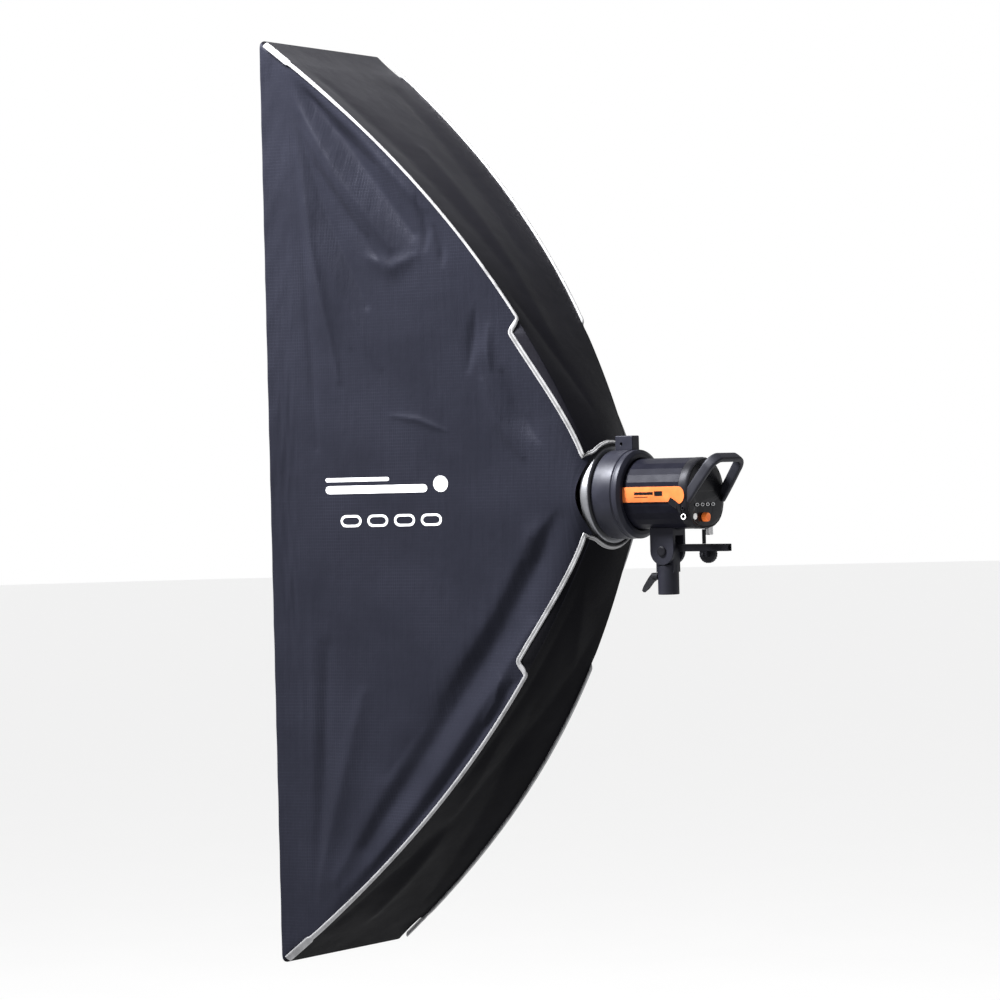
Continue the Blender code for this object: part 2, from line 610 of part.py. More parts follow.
# ---- bracket ------------------------------------------------------------------------------------
def make_bracket(look):
    pivot = (0, 0, PIVOT_Z)
    yoke = block("yoke", (-PLATE_OUT, -PLATE_HALF_LENGTH, PIVOT_Z), (PLATE_OUT, PLATE_HALF_LENGTH, 0.110),
                 look["bracket"], pivot)
    boolean(yoke, rod("guide_yoke_round", PLATE_HALF_LENGTH, -PLATE_OUT, PLATE_OUT, None, "X", pivot, 32),
            "UNION")
    boolean(yoke, block("guide_yoke_gap", (-PLATE_IN, -0.05, 0.03), (PLATE_IN, 0.05, 0.0855), None),
            "DIFFERENCE")
    boolean(yoke, rod("guide_yoke_saddle", HEAD_RADIUS + GAP, -0.1, 0.1, None, "Y", (0, 0, AXIS_Z), 56),
            "DIFFERENCE")
    boolean(yoke, rod("guide_yoke_hole", BOLT_RADIUS + GAP, -0.05, 0.05, None, "X", pivot, 20), "DIFFERENCE")
    bolt = [(circle(BOLT_RADIUS, 20), -PLATE_OUT - 0.009), (circle(BOLT_RADIUS, 20), PLATE_OUT + 0.0004),
            (circle(0.0075, 20), PLATE_OUT + 0.0005), (circle(0.0072, 20), PLATE_OUT + 0.002),
            (circle(0.0045, 20), PLATE_OUT + 0.0035)]
    stack("pivot_bolt", bolt, look["housing"], "X", pivot, pivot)
    nut = [(BOLT_RADIUS + GAP, -PLATE_OUT - 0.0004), (0.0075, -PLATE_OUT - 0.0004),
           (0.0075, -PLATE_OUT - 0.0065), (BOLT_RADIUS + GAP, -PLATE_OUT - 0.0065)]
    turned("pivot_nut", nut, look["steel"], pivot, "X", 24, pivot)
    half = PLATE_IN - 0.0018
    for side, s in SIDES.items():
        xs = sorted((s * (half + GAP), s * (PLATE_IN - GAP)))
        washer = [(BOLT_RADIUS + GAP, xs[0]), (0.013, xs[0]), (0.013, xs[1]), (BOLT_RADIUS + GAP, xs[1])]
        turned(f"friction_washer_{side}", washer, look["rubber"], pivot, "X", 24, pivot)
    make_stand_socket(look, half)
    make_umbrella_tube(look)


def make_stand_socket(look, half):
    """Root piece: the sleeve that drops on a stand's stud, with the tongue the yoke tilts on."""
    profile = [(circle(TUBE_RADIUS - 0.0008, 28), 0.0), (circle(TUBE_RADIUS, 28), 0.0008),
               (circle(TUBE_RADIUS, 28), TUBE_TOP)]
    socket = stack("stand_socket", profile, look["bracket"], "Z", (0, 0, 0))
    boolean(socket, block("guide_tongue", (-half, -0.0150, TUBE_TOP - 0.01), (half, 0.0150, PIVOT_Z), None),
            "UNION")
    boolean(socket, rod("guide_tongue_round", 0.0150, -half, half, None, "X", (0, 0, PIVOT_Z), 28), "UNION")
    boolean(socket, rod("guide_tongue_hole", BOLT_RADIUS + GAP, -0.03, 0.03, None, "X", (0, 0, PIVOT_Z), 20),
            "DIFFERENCE")
    boolean(socket, rod("guide_stud_bore", STUD_BORE, -0.01, STUD_DEPTH, None, "Z", (0, 0, 0), 24),
            "DIFFERENCE")
    screw = (0, -TUBE_RADIUS, 0.0265)
    boolean(socket, rod("guide_screw_hole", 0.0033, -0.03, -0.004, None, "Y", screw, 16), "DIFFERENCE")
    stem = [(circle(0.003, 16), -0.0092), (circle(0.003, 16), -0.0165), (circle(0.0055, 16), -0.0168),
            (circle(0.0050, 16), -0.0265)]
    lever = stack("stand_lock_lever", stem, look["rubber"], "Y", screw, screw)
    wing = [(-0.0185, 0.0040), (-0.0270, 0.0050), (-0.0330, -0.0020), (-0.0420, -0.0150),
            (-0.0450, -0.0215), (-0.0420, -0.0245), (-0.0345, -0.0190), (-0.0260, -0.0090),
            (-0.0185, -0.0040)]
    sections = [(x, [(y, z * k) for y, z in wing]) for x, k in ((-0.0026, 0.96), (0.0026, 0.96))]
    bm = loft([[Vector((x, y, screw[2] + z)) for y, z in shape] for x, shape in sections])
    blade = finish_mesh("guide_wing", bm, None)
    boolean(lever, blade, "UNION")


def make_umbrella_tube(look):
    """Square tube behind the yoke for an umbrella shaft, pinched by a cross screw under its bore."""
    low = (-BAR_HALF, BAR_Y[0], BAR_Z - BAR_HALF)
    high = (BAR_HALF, BAR_Y[1], BAR_Z + BAR_HALF)
    bar = block("umbrella_tube", low, high, look["housing"], (0, 0, PIVOT_Z), bevel=0.0009)
    ear_low = (-BAR_HALF + 0.0004, CLAMP_Y - 0.006, CLAMP_Z - 0.0045)
    ear = block("guide_clamp_ear", ear_low, (BAR_HALF - 0.0004, CLAMP_Y + 0.006, BAR_Z), None)
    boolean(bar, ear, "UNION")
    bore = rod("guide_umbrella_bore", BAR_BORE, 0.0, 0.12, None, "Y", (0, 0, BAR_Z), 16)
    boolean(bar, bore, "DIFFERENCE")
    spot = (0, CLAMP_Y, CLAMP_Z)
    boolean(bar, rod("guide_clamp_hole", 0.0023, -0.02, 0.02, None, "X", spot, 14), "DIFFERENCE")
    make_clamp_knob(look, spot)
    foot = AXIS_Z - HEAD_RADIUS - GAP
    block("brace_strut", (-STRUT_HALF_WIDTH, STRUT_Y[0], BAR_Z + BAR_HALF + GAP),
          (STRUT_HALF_WIDTH, STRUT_Y[1], foot - GAP), look["housing"], (0, 0, PIVOT_Z), bevel=0.0004)


def make_clamp_knob(look, spot):
    """Knurled pinch knob on the left of the umbrella tube, its stem across the tube's ear."""
    grip = []
    for k in range(2 * KNOB_LOBES):
        r = KNOB_RADIUS - 0.0007 * (k % 2)
        a = math.pi * k / KNOB_LOBES
        grip.append((r * math.cos(a), r * math.sin(a)))
    stem = [(u * CLAMP_STEM / KNOB_RADIUS, v * CLAMP_STEM / KNOB_RADIUS) for u, v in grip]
    crown = [(u * 0.88, v * 0.88) for u, v in grip]
    layers = [(stem, BAR_HALF + 0.003), (stem, -BAR_HALF - GAP), (grip, -BAR_HALF - 0.0006),
              (grip, -BAR_HALF - 0.0080), (crown, -BAR_HALF - 0.0092)]
    stack("umbrella_clamp_knob", layers, look["rubber"], "X", spot, spot, smooth=False)


def main():
    clear_scene()
    look = looks()
    make_panels(look)
    make_front(look)
    pin = make_rods(look)
    make_ring(look, pin)
    make_collar(look)
    make_head(look)
    make_trim(look)
    make_handle(look)
    make_bracket(look)


main()
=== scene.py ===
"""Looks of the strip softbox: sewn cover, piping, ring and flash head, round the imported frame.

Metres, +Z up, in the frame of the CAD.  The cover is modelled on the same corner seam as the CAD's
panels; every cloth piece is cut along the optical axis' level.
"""

import json
import math

import bmesh
import bpy
import numpy as np
from mathutils import Matrix, Vector


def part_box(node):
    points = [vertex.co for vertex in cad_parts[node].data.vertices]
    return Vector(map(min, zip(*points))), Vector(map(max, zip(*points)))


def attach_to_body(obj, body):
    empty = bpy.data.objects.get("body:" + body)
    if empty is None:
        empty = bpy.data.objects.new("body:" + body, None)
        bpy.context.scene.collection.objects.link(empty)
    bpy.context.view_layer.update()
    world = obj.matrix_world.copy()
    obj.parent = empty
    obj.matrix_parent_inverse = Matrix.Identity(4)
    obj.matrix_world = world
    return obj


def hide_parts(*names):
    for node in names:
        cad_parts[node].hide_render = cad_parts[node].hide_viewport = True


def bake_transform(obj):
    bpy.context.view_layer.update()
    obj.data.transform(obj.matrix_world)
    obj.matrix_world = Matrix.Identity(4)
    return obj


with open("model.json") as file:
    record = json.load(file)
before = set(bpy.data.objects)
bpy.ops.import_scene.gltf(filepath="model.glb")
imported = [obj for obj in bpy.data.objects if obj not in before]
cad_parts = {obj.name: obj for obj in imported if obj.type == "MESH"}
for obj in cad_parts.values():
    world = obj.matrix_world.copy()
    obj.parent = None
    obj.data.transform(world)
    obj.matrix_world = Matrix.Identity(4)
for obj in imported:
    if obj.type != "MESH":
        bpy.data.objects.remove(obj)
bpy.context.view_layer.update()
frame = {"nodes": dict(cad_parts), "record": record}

# ---- sizes, from the frame and the cover's cut --------------------------
RING_LOW, RING_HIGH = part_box("speed_ring")
AXIS_Z = (RING_LOW.z + RING_HIGH.z) / 2
BOX_HALF_X, BOX_HALF_Z = 0.150, 0.700
FRONT_Y = -0.617
HEM_DEPTH = 0.050
COVER_Y, COVER_CORNER_X, COVER_CORNER_Z, COVER_RING_RADIUS = -0.096, 0.052, 0.056, 0.0765
SIDE_PULLED_IN, END_PULLED_IN = 0.012, 0.008
SEAM_START_ANGLE, SEAM_END_ANGLE, SEAM_HANDLE = math.radians(68), math.radians(37.5), 0.301
RING_RADIUS = 0.070
CLOTH, THIN_CLOTH = 0.0008, 0.0006
JOG_T = 0.252
SCALLOP = 0.012
COLLAR_LOW, COLLAR_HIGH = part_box("mount_collar")
SHELL_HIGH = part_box("head_shell")[1]
HEAD_RADIUS, COLLAR_RADIUS, SQUARENESS = 0.0516, 0.065, 2.7
CLOTH_CREASE, TURNED_CREASE, SOLID_CREASE = (math.radians(a) for a in (50, 40, 34))
SOLID_BEVEL_ABOVE, SHELL_BEVEL_ABOVE, NEARLY_FLAT = (math.radians(a) for a in (38, 6, 0.6))
HALVES = {"upper": 1, "lower": -1}
SIDES = {"right": 1, "left": -1}

# ---- folds, lip, piping, print and marks --------------------------------
FOLD_GAIN, CREST_BLUNT, CREST_POWER = 2.1, 0.04, 1.5
FAR_SHIFT = 0.018
SIDE_GRID, END_GRID = (230, 210), (190, 76)
HEM_OVERLAP = 0.005
FOLD_ALLOWANCE = 1.03
LIP_ROWS, LIP_ROUND, LIP_CORNER, LIP_WAVE, LIP_CREASE = 30, 0.0026, 0.012, 0.0008, 0.0006
JOG_HALF, FLAP_START, FLAP_SPREAD, FLAP_RISE = 0.018, 0.005, 0.018, 0.0022
PATCH_T, TAPER_T, DOUBLE_T = 0.925, 0.72, 0.02
PIPING_THICK, PIPING_PROUD, PIPING_THIN = 0.0044, 0.0022, {"upper": 0.0042, "lower": 0.0058}
PIPING_BAND, PIPING_ARC, PIPING_GROOVE, PIPING_JOIN, PIPING_OFF_RING = 0.0078, 0.0062, 0.75, 0.14, 0.001
PRINT_RISE = 0.0004
PRINT_BARS = [("long", 0.094, 0.262, 0.010, 0.022), ("short", 0.094, 0.200, 0.028, 0.034),
              ("dot", 0.272, 0.296, 0.010, 0.034)]
STRIPE_MARKS = [("bar", 0.021, 0.053, -1.0, 3.2), ("line", 0.021, 0.044, -5.0, -4.0),
                ("block", 0.0555, 0.069, -3.0, 4.4)]

# ---- camera and lights --------------------------------------------------
CAMERA_AZIMUTH, CAMERA_ELEVATION, CAMERA_ROLL = (math.radians(a) for a in (125.775, 0.422, -1.402))
CAMERA_TARGET, CAMERA_DISTANCE, CAMERA_LENS = Vector((0.0009, -0.2965, AXIS_Z - 0.0047)), 5.0625, 121.68
FLOOR_DROP = 1.25
LIGHTS = [("key", (1.5, -1.25, 2.4), (0, -0.4, 0.4), (0.7, 0.9), 470),
          ("back_fill", (2.4, 3.6, 1.6), (0, 0, 0.1), (1.2, 1.2), 22),
          ("top_rim", (-1.6, -1.5, 2.5), (0, -0.4, 0.6), (1.4, 1.4), 10)]
BACKDROP = (-math.sin(CAMERA_AZIMUTH), math.cos(CAMERA_AZIMUTH), 0)


# ---- the corner seam and the panels on it -------------------------------
def seam(t):
    """x, y and height from the axis of the corner seam, for t from the ring (0) to the front (1)."""
    t = np.asarray(t, float)
    s = 1 - t
    ys = (COVER_Y, COVER_Y - SEAM_HANDLE * math.cos(SEAM_START_ANGLE),
          FRONT_Y + SEAM_HANDLE * math.cos(SEAM_END_ANGLE), FRONT_Y)
    zs = (COVER_CORNER_Z, COVER_CORNER_Z + SEAM_HANDLE * math.sin(SEAM_START_ANGLE),
          BOX_HALF_Z - SEAM_HANDLE * math.sin(SEAM_END_ANGLE), BOX_HALF_Z)
    weights = (s**3, 3 * s * s * t, 3 * s * t * t, t**3)
    y = sum(w * p for w, p in zip(weights, ys))
    z = sum(w * p for w, p in zip(weights, zs))
    slope = (BOX_HALF_X - COVER_CORNER_X) / (BOX_HALF_Z - COVER_CORNER_Z)
    return COVER_CORNER_X + slope * (z - COVER_CORNER_Z), y, z


T_TABLE = np.linspace(0, 1, 2001)
X_TABLE, Y_TABLE, Z_TABLE = seam(T_TABLE)
LENGTH_TABLE = np.concatenate([[0], np.cumsum(np.hypot(np.diff(Y_TABLE), np.diff(Z_TABLE)))])


def t_at_y(y):
    return np.interp(-np.asarray(y), -Y_TABLE, T_TABLE)


def stack(*arrays):
    return np.stack(arrays, -1)


def grid(first, second):
    return np.meshgrid(first, second, indexing="ij")


HEM_T = float(t_at_y(FRONT_Y + HEM_DEPTH))


def smooth(x):
    x = np.clip(x, 0, 1)
    return x * x * (3 - 2 * x)


def bulge(t, at_ring, pulled_in):
    """How far a panel's middle stands out of its seams, or in where it is negative."""
    return at_ring * (1 - t) ** 4 - pulled_in * np.sin(math.pi * t)


def side_bulge(t):
    return bulge(t, COVER_RING_RADIUS - COVER_CORNER_X, SIDE_PULLED_IN)


def end_bulge(t):
    return bulge(t, COVER_RING_RADIUS - COVER_CORNER_Z, END_PULLED_IN)


def side_surface(t, v):
    """The right panel: v runs from -1 at the lower seam to 1 at the upper one."""
    x, y, z = seam(t)
    scallop = SCALLOP * (1 - v * v) ** 2 * (1 - t) ** 12
    return x + side_bulge(t) * (1 - v * v), y - scallop, z * v


def top_surface(t, u):
    """The top panel: u runs from -1 at the left seam to 1 at the right one."""
    x, y, z = seam(t)
    return x * u, y, z + end_bulge(t) * (1 - u * u)


# ---- folds --------------------------------------------------------------
# A fold is (points, width, height): points are (depth behind the front, height from the axis) on a side
# panel, or (depth, distance across) on the top and bottom ones.
NEAR_UPPER = [
    ([(0.052, 0.640), (0.15, 0.520), (0.25, 0.395)], 0.016, -0.0064),
    ([(0.052, 0.615), (0.14, 0.480), (0.215, 0.375)], 0.013, 0.0046),
    ([(0.060, 0.645), (0.17, 0.545), (0.27, 0.430)], 0.010, 0.0030),
    ([(0.052, 0.600), (0.11, 0.420), (0.17, 0.290)], 0.008, -0.0030),
    ([(0.050, 0.580), (0.085, 0.380), (0.12, 0.180)], 0.007, 0.0028),
    ([(0.050, 0.540), (0.066, 0.330), (0.080, 0.080)], 0.007, -0.0018),
    ([(0.180, 0.360), (0.215, 0.345), (0.255, 0.360)], 0.010, 0.0025),
    ([(0.262, 0.445), (0.275, 0.400), (0.272, 0.370)], 0.006, -0.0022),
    ([(0.290, 0.400), (0.300, 0.370), (0.300, 0.345)], 0.005, -0.0018),
    ([(0.350, 0.270), (0.345, 0.235), (0.335, 0.190)], 0.007, -0.0024),
    ([(0.372, 0.250), (0.370, 0.215), (0.372, 0.190)], 0.006, 0.0020),
    ([(0.392, 0.180), (0.420, 0.120), (0.445, 0.085)], 0.011, -0.0036),
    ([(0.360, 0.170), (0.385, 0.110), (0.420, 0.060)], 0.009, 0.0028),
    ([(0.205, 0.125), (0.250, 0.118), (0.295, 0.100)], 0.004, 0.0012),
    ([(0.055, 0.650), (0.120, 0.560), (0.190, 0.500)], 0.009, -0.0018),
    ([(0.070, 0.560), (0.130, 0.470), (0.175, 0.400)], 0.008, 0.0016),
    ([(0.095, 0.500), (0.150, 0.420), (0.200, 0.350)], 0.008, -0.0015),
    ([(0.060, 0.480), (0.095, 0.330), (0.140, 0.230)], 0.008, 0.0015),
    ([(0.075, 0.450), (0.130, 0.300), (0.190, 0.200)], 0.010, 0.0020),
]
NEAR_LOWER = [
    ([(0.470, -0.030), (0.425, -0.110), (0.360, -0.215), (0.275, -0.340), (0.150, -0.520)], 0.024, -0.0085),
    ([(0.430, -0.060), (0.370, -0.165), (0.285, -0.290), (0.190, -0.430), (0.100, -0.570)], 0.020, 0.0060),
    ([(0.430, -0.190), (0.370, -0.280), (0.285, -0.400), (0.180, -0.530), (0.080, -0.640)], 0.016, 0.0050),
    ([(0.395, -0.275), (0.330, -0.365), (0.240, -0.480), (0.130, -0.600)], 0.011, -0.0045),
    ([(0.330, -0.240), (0.255, -0.330), (0.190, -0.410)], 0.018, -0.0035),
    ([(0.052, -0.640), (0.075, -0.420), (0.090, -0.220)], 0.012, -0.0030),
    ([(0.055, -0.620), (0.115, -0.420), (0.150, -0.290)], 0.014, 0.0032),
    ([(0.050, -0.590), (0.060, -0.350), (0.062, -0.120)], 0.009, 0.0022),
    ([(0.470, -0.020), (0.445, -0.050), (0.425, -0.090)], 0.012, 0.0030),
    ([(0.380, -0.270), (0.372, -0.300), (0.350, -0.330)], 0.006, 0.0025),
    ([(0.300, -0.420), (0.280, -0.450), (0.250, -0.480)], 0.006, -0.0020),
]
LONG_FOLDS = {
    "top": [([(0.06, 0.10), (0.20, 0.06), (0.36, 0.03)], 0.020, -0.0030),
            ([(0.06, -0.09), (0.20, -0.07), (0.34, -0.04)], 0.018, -0.0026),
            ([(0.20, 0.00), (0.34, 0.01), (0.45, 0.02)], 0.016, 0.0028),
            ([(0.40, 0.06), (0.45, 0.03), (0.49, 0.01)], 0.010, -0.0030)],
    "bottom": [([(0.06, 0.11), (0.18, 0.05), (0.33, -0.02), (0.44, -0.05)], 0.020, -0.0045),
               ([(0.06, 0.02), (0.20, 0.02), (0.34, 0.05)], 0.018, 0.0040),
               ([(0.10, -0.10), (0.24, -0.05), (0.38, 0.01)], 0.018, -0.0040),
               ([(0.42, -0.04), (0.46, 0.00), (0.49, 0.03)], 0.010, 0.0035),
               ([(0.30, 0.08), (0.40, 0.05), (0.48, 0.04)], 0.012, -0.0030)],
}


def fold_height(folds, depth, across):
    """Sum of soft ridges and valleys along short listed lines, widest and highest in mid-line."""
    total = np.zeros_like(depth)
    for points, width, height in folds:
        best = np.full(depth.shape, 1e9)
        place = np.zeros_like(depth)
        for k, (a, b) in enumerate(zip(points, points[1:])):
            a, b = np.array(a), np.array(b)
            d = b - a
            s = np.clip(((depth - a[0]) * d[0] + (across - a[1]) * d[1]) / (d @ d), 0, 1)
            gap = np.hypot(depth - a[0] - s * d[0], across - a[1] - s * d[1])
            closer = gap < best
            best = np.where(closer, gap, best)
            place = np.where(closer, (k + s) / (len(points) - 1), place)
        reach = width * (0.45 + 0.9 * np.sin(math.pi * np.clip(place * 0.8 + 0.1, 0, 1)))
        ridge = np.exp(-np.sqrt((best / reach) ** 2 + CREST_BLUNT) ** CREST_POWER)
        total += FOLD_GAIN * height * ridge * (0.35 + 0.65 * np.sin(math.pi * place))
    return total


def ripple(depth, across, seed):
    """Fine, low waves so that no stretch of cloth is quite flat."""
    chance = np.random.default_rng(seed)
    total = np.zeros_like(depth)
    for _ in range(14):
        angle = chance.uniform(0.9, 2.2)
        count = chance.uniform(25, 95)
        phase = chance.uniform(0, 2 * math.pi)
        mask = np.sin(depth * chance.uniform(5, 14) + across * chance.uniform(3, 9) + phase * 2)
        wave = np.sin((depth * math.cos(angle) * 2 + across * math.sin(angle) * 0.5) * count + phase)
        total += wave * np.clip(mask, 0, 1) * 0.02 / count
    return total


# ---- mesh helpers -------------------------------------------------------
def new_object(name, verts, faces, materials, uvs=None):
    mesh = bpy.data.meshes.new(name)
    mesh.from_pydata([tuple(map(float, v)) for v in verts], [], faces)
    mesh.update()
    for mat in materials:
        mesh.materials.append(mat)
    if uvs is not None:
        layer = mesh.uv_layers.new(name="cloth")
        loops = np.zeros(len(mesh.loops), int)
        mesh.loops.foreach_get("vertex_index", loops)
        layer.data.foreach_set("uv", np.asarray(uvs, np.float32)[loops].ravel())
    mesh.shade_smooth()
    obj = bpy.data.objects.new(name, mesh)
    bpy.context.collection.objects.link(obj)
    return obj


def sheet_object(name, points, uvs, look, outward, lining=None, probe=None, thickness=CLOTH):
    """A cloth of two skins from an array of points (rows, columns, 3), facing outward at the probed place."""
    rows, columns = points.shape[:2]
    normal = np.cross(np.gradient(points, axis=1), np.gradient(points, axis=0))
    normal /= np.linalg.norm(normal, axis=2)[..., None]
    facing = normal[probe] if probe else normal.reshape(-1, 3).sum(0)
    if facing @ np.array(outward, float) < 0:
        normal = -normal
    count = rows * columns
    index = np.arange(count).reshape(rows, columns)
    quads = stack(index[:-1, :-1], index[:-1, 1:], index[1:, 1:], index[1:, :-1]).reshape(-1, 4)
    border = np.concatenate([index[0, :-1], index[:-1, -1], index[-1, :0:-1], index[:0:-1, 0]])
    ahead = np.roll(border, -1)
    rim = stack(border, ahead, ahead + count, border + count)
    faces = np.concatenate([quads, quads[:, ::-1] + count, rim]).tolist()
    verts = np.concatenate([points.reshape(-1, 3), (points - normal * thickness).reshape(-1, 3)])
    obj = new_object(name, verts, faces, [look, lining or look], np.concatenate([uvs.reshape(-1, 2)] * 2))
    slots = np.zeros(len(faces), np.int32)
    slots[len(quads):2 * len(quads)] = 1
    obj.data.polygons.foreach_set("material_index", slots)
    face_out(obj)
    obj.data.set_sharp_from_angle(angle=CLOTH_CREASE)
    return obj


def face_out(obj):
    bm = bmesh.new()
    bm.from_mesh(obj.data)
    bmesh.ops.recalc_face_normals(bm, faces=bm.faces)
    bm.to_mesh(obj.data)
    bm.free()


def turned_piece(name, profile, look, steps, centre=(0, 0, AXIS_Z), axis="Y"):
    """Turn a closed loop of (radius, distance) points about the Y or X axis through the centre."""
    verts, faces = [], []
    for k in range(steps):
        a = 2 * math.pi * k / steps
        for radius, along in profile:
            u, v = radius * math.cos(a), radius * math.sin(a)
            place = (centre[0] + u, along) if axis == "Y" else (along, centre[1] + u)
            verts.append((*place, centre[2] + v))
    count = len(profile)
    for k in range(steps):
        n = (k + 1) % steps
        for j in range(count):
            m = (j + 1) % count
            faces.append((k * count + j, k * count + m, n * count + m, n * count + j))
    obj = new_object(name, verts, faces, [look])
    face_out(obj)
    obj.data.set_sharp_from_angle(angle=TURNED_CREASE)
    return obj


def ribbon(name, points, normals, widths, thickness, looks, groove, sides=16):
    """A soft flat band along points; groove sinks its middle, so that it reads as two cords side by side, and
    the sunk middle takes the second, darker look, which is painted shade.
    """
    count = len(points)
    ahead = np.gradient(points, axis=0)
    ahead /= np.linalg.norm(ahead, axis=1)[:, None]
    normals = normals - (normals * ahead).sum(1)[:, None] * ahead
    normals /= np.linalg.norm(normals, axis=1)[:, None]
    side = np.cross(ahead, normals)
    angle = 2 * math.pi * np.arange(sides) / sides
    across = np.cos(angle)
    verts = []
    for k in range(count):
        rise = np.sin(angle) * thickness / 2
        rise = rise * (1 - groove[k] * np.exp(-(across / 0.35) ** 2) * (np.sin(angle) > 0))
        verts.append(points[k] + side[k] * across[:, None] * widths[k] / 2 + normals[k] * rise[:, None])
    verts = np.concatenate(verts)
    faces = []
    for k in range(count - 1):
        for j in range(sides):
            m = (j + 1) % sides
            faces.append((k * sides + j, (k + 1) * sides + j, (k + 1) * sides + m, k * sides + m))
    faces.append(tuple(range(sides)))
    faces.append(tuple((count - 1) * sides + j for j in reversed(range(sides))))
    obj = new_object(name, verts, faces, looks)
    face_out(obj)
    # Painted shade: the faces in the middle of the groove take the second, darker look.
    middle = [1 if abs(across[f.index % sides] + across[(f.index + 1) % sides]) < 0.7
              and groove[min(f.index // sides, count - 1)] > 0.3 else 0 for f in obj.data.polygons]
    obj.data.polygons.foreach_set("material_index", np.array(middle, np.int32))
    return obj


def fold_with(obj):
    """Bake the piece's place into its mesh."""
    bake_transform(obj)


# ---- materials ----------------------------------------------------------
def add_node(tree, kind, inputs=None, **settings):
    """A new node; an input is a number, a colour, or another node's output, which is linked."""
    made = tree.nodes.new(kind)
    for key, value in settings.items():
        setattr(made, key, value)
    for key, value in (inputs or {}).items():
        if isinstance(value, bpy.types.NodeSocket):
            tree.links.new(value, made.inputs[key])
        else:
            made.inputs[key].default_value = value
    return made


class Nodes:
    """A short way to wire a Principled material."""

    def __init__(self, name, colour, roughness, metallic=0.0):
        self.mat = bpy.data.materials.new(name)
        self.mat.use_nodes = True
        self.tree = self.mat.node_tree
        self.shader = self.tree.nodes["Principled BSDF"]
        self.put("Base Color", (*colour, 1.0)).put("Roughness", roughness).put("Metallic", metallic)
        self.relief = None

    def put(self, socket, value):
        self.shader.inputs[socket].default_value = value
        return self

    def drive(self, socket, output):
        self.tree.links.new(output, self.shader.inputs[socket])
        return self

    def node(self, kind, inputs=None, **settings):
        return add_node(self.tree, kind, inputs, **settings)

    def coordinates(self, source="Object", scale=(1, 1, 1)):
        place = self.node("ShaderNodeTexCoord").outputs[source]
        return self.node("ShaderNodeMapping", {"Scale": scale, "Vector": place}).outputs["Vector"]

    def noise(self, scale, detail=3.0, vector=None):
        inputs = {"Scale": scale, "Detail": detail, "Vector": vector or self.coordinates()}
        return self.node("ShaderNodeTexNoise", inputs).outputs["Fac"]

    def math(self, operation, a, b=0.0):
        return self.node("ShaderNodeMath", {0: a, 1: b}, operation=operation).outputs[0]

    def tint(self, factor, other, low=0.35, high=0.65):
        """Vary the colour between the one it has and another one."""
        ramp = self.node("ShaderNodeMapRange", {"From Min": low, "From Max": high, "Value": factor})
        base = self.shader.inputs["Base Color"]
        before = base.links[0].from_socket if base.is_linked else base.default_value
        mix = self.node("ShaderNodeMix", {"Factor": ramp.outputs[0], "A": before, "B": (*other, 1.0)},
                        data_type="RGBA")
        return self.drive("Base Color", mix.outputs["Result"])

    def rough(self, factor, low, high):
        ramp = self.node("ShaderNodeMapRange", {"To Min": low, "To Max": high, "Value": factor})
        return self.drive("Roughness", ramp.outputs[0])

    def bump(self, height, strength, distance):
        inputs = {"Strength": strength, "Distance": distance, "Height": height}
        if self.relief:
            inputs["Normal"] = self.relief
        self.relief = self.node("ShaderNodeBump", inputs).outputs["Normal"]
        return self.drive("Normal", self.relief)


def scaled(colour, share):
    return tuple(c * share for c in colour)


THREAD_GAP, THREAD_SHARE, WEAVE = 0.005, 0.14, 9000.0


def ripstop(name, colour, thread, roughness, gloss, sheen=0.012, creases=0.0):
    """Coated nylon: fine weave with a thicker thread every 5 mm both ways."""
    m = Nodes(name, colour, roughness)
    along = [m.node("ShaderNodeSeparateXYZ", {0: m.coordinates("UV")}).outputs[axis] for axis in ("X", "Y")]
    cells = [m.math("FRACT", m.math("MULTIPLY", place, 1 / THREAD_GAP)) for place in along]
    threads = m.math("MAXIMUM", *[m.math("LESS_THAN", cell, THREAD_SHARE) for cell in cells])
    m.tint(threads, thread, 0.0, 4.0)
    m.tint(m.noise(9.0, 4.0), scaled(colour, 0.90))
    m.bump(threads, 0.25, 0.0002)
    m.bump(m.math("MULTIPLY", *[m.math("SINE", m.math("MULTIPLY", place, WEAVE)) for place in along]),
           0.12, 0.0001)
    m.bump(m.noise(38.0, 5.0), 0.35, 0.0022)
    if creases:
        m.bump(m.noise(62.0, 3.0, m.coordinates("UV", (1.0, 0.17, 1.0))), creases, 0.0045)
    m.rough(m.noise(22.0, 4.0), roughness - 0.07, roughness + 0.09)
    m.put("Sheen Weight", sheen).put("Sheen Roughness", 0.45)
    m.put("Sheen Tint", (0.75, 0.78, 0.9, 1.0))
    m.put("Specular Tint", (0.78, 0.80, 1.0, 1.0))
    m.put("Specular IOR Level", gloss)
    return m.mat


def cloth(name, colour, roughness=0.8, grain=900.0, sheen=0.3):
    """Plain woven cloth: a fine grain over soft, slow waves."""
    m = Nodes(name, colour, roughness)
    m.tint(m.noise(30.0, 3.0), scaled(colour, 0.85))
    m.bump(m.noise(grain, 2.0), 0.25, 0.0003)
    m.bump(m.noise(28.0, 4.0), 0.3, 0.002)
    m.put("Sheen Weight", sheen)
    return m.mat


def piping_look(name, colour, roughness):
    """Reflective tape: tiny glass beads on a woven edge."""
    m = Nodes(name, colour, roughness)
    m.tint(m.noise(60.0, 4.0), scaled(colour, 0.62), 0.45, 0.7)
    m.bump(m.noise(1400.0, 2.0), 0.35, 0.0003)
    m.bump(m.noise(120.0, 3.0), 0.25, 0.0008)
    m.put("Metallic", 0.15).put("Sheen Weight", 0.2)
    return m.mat


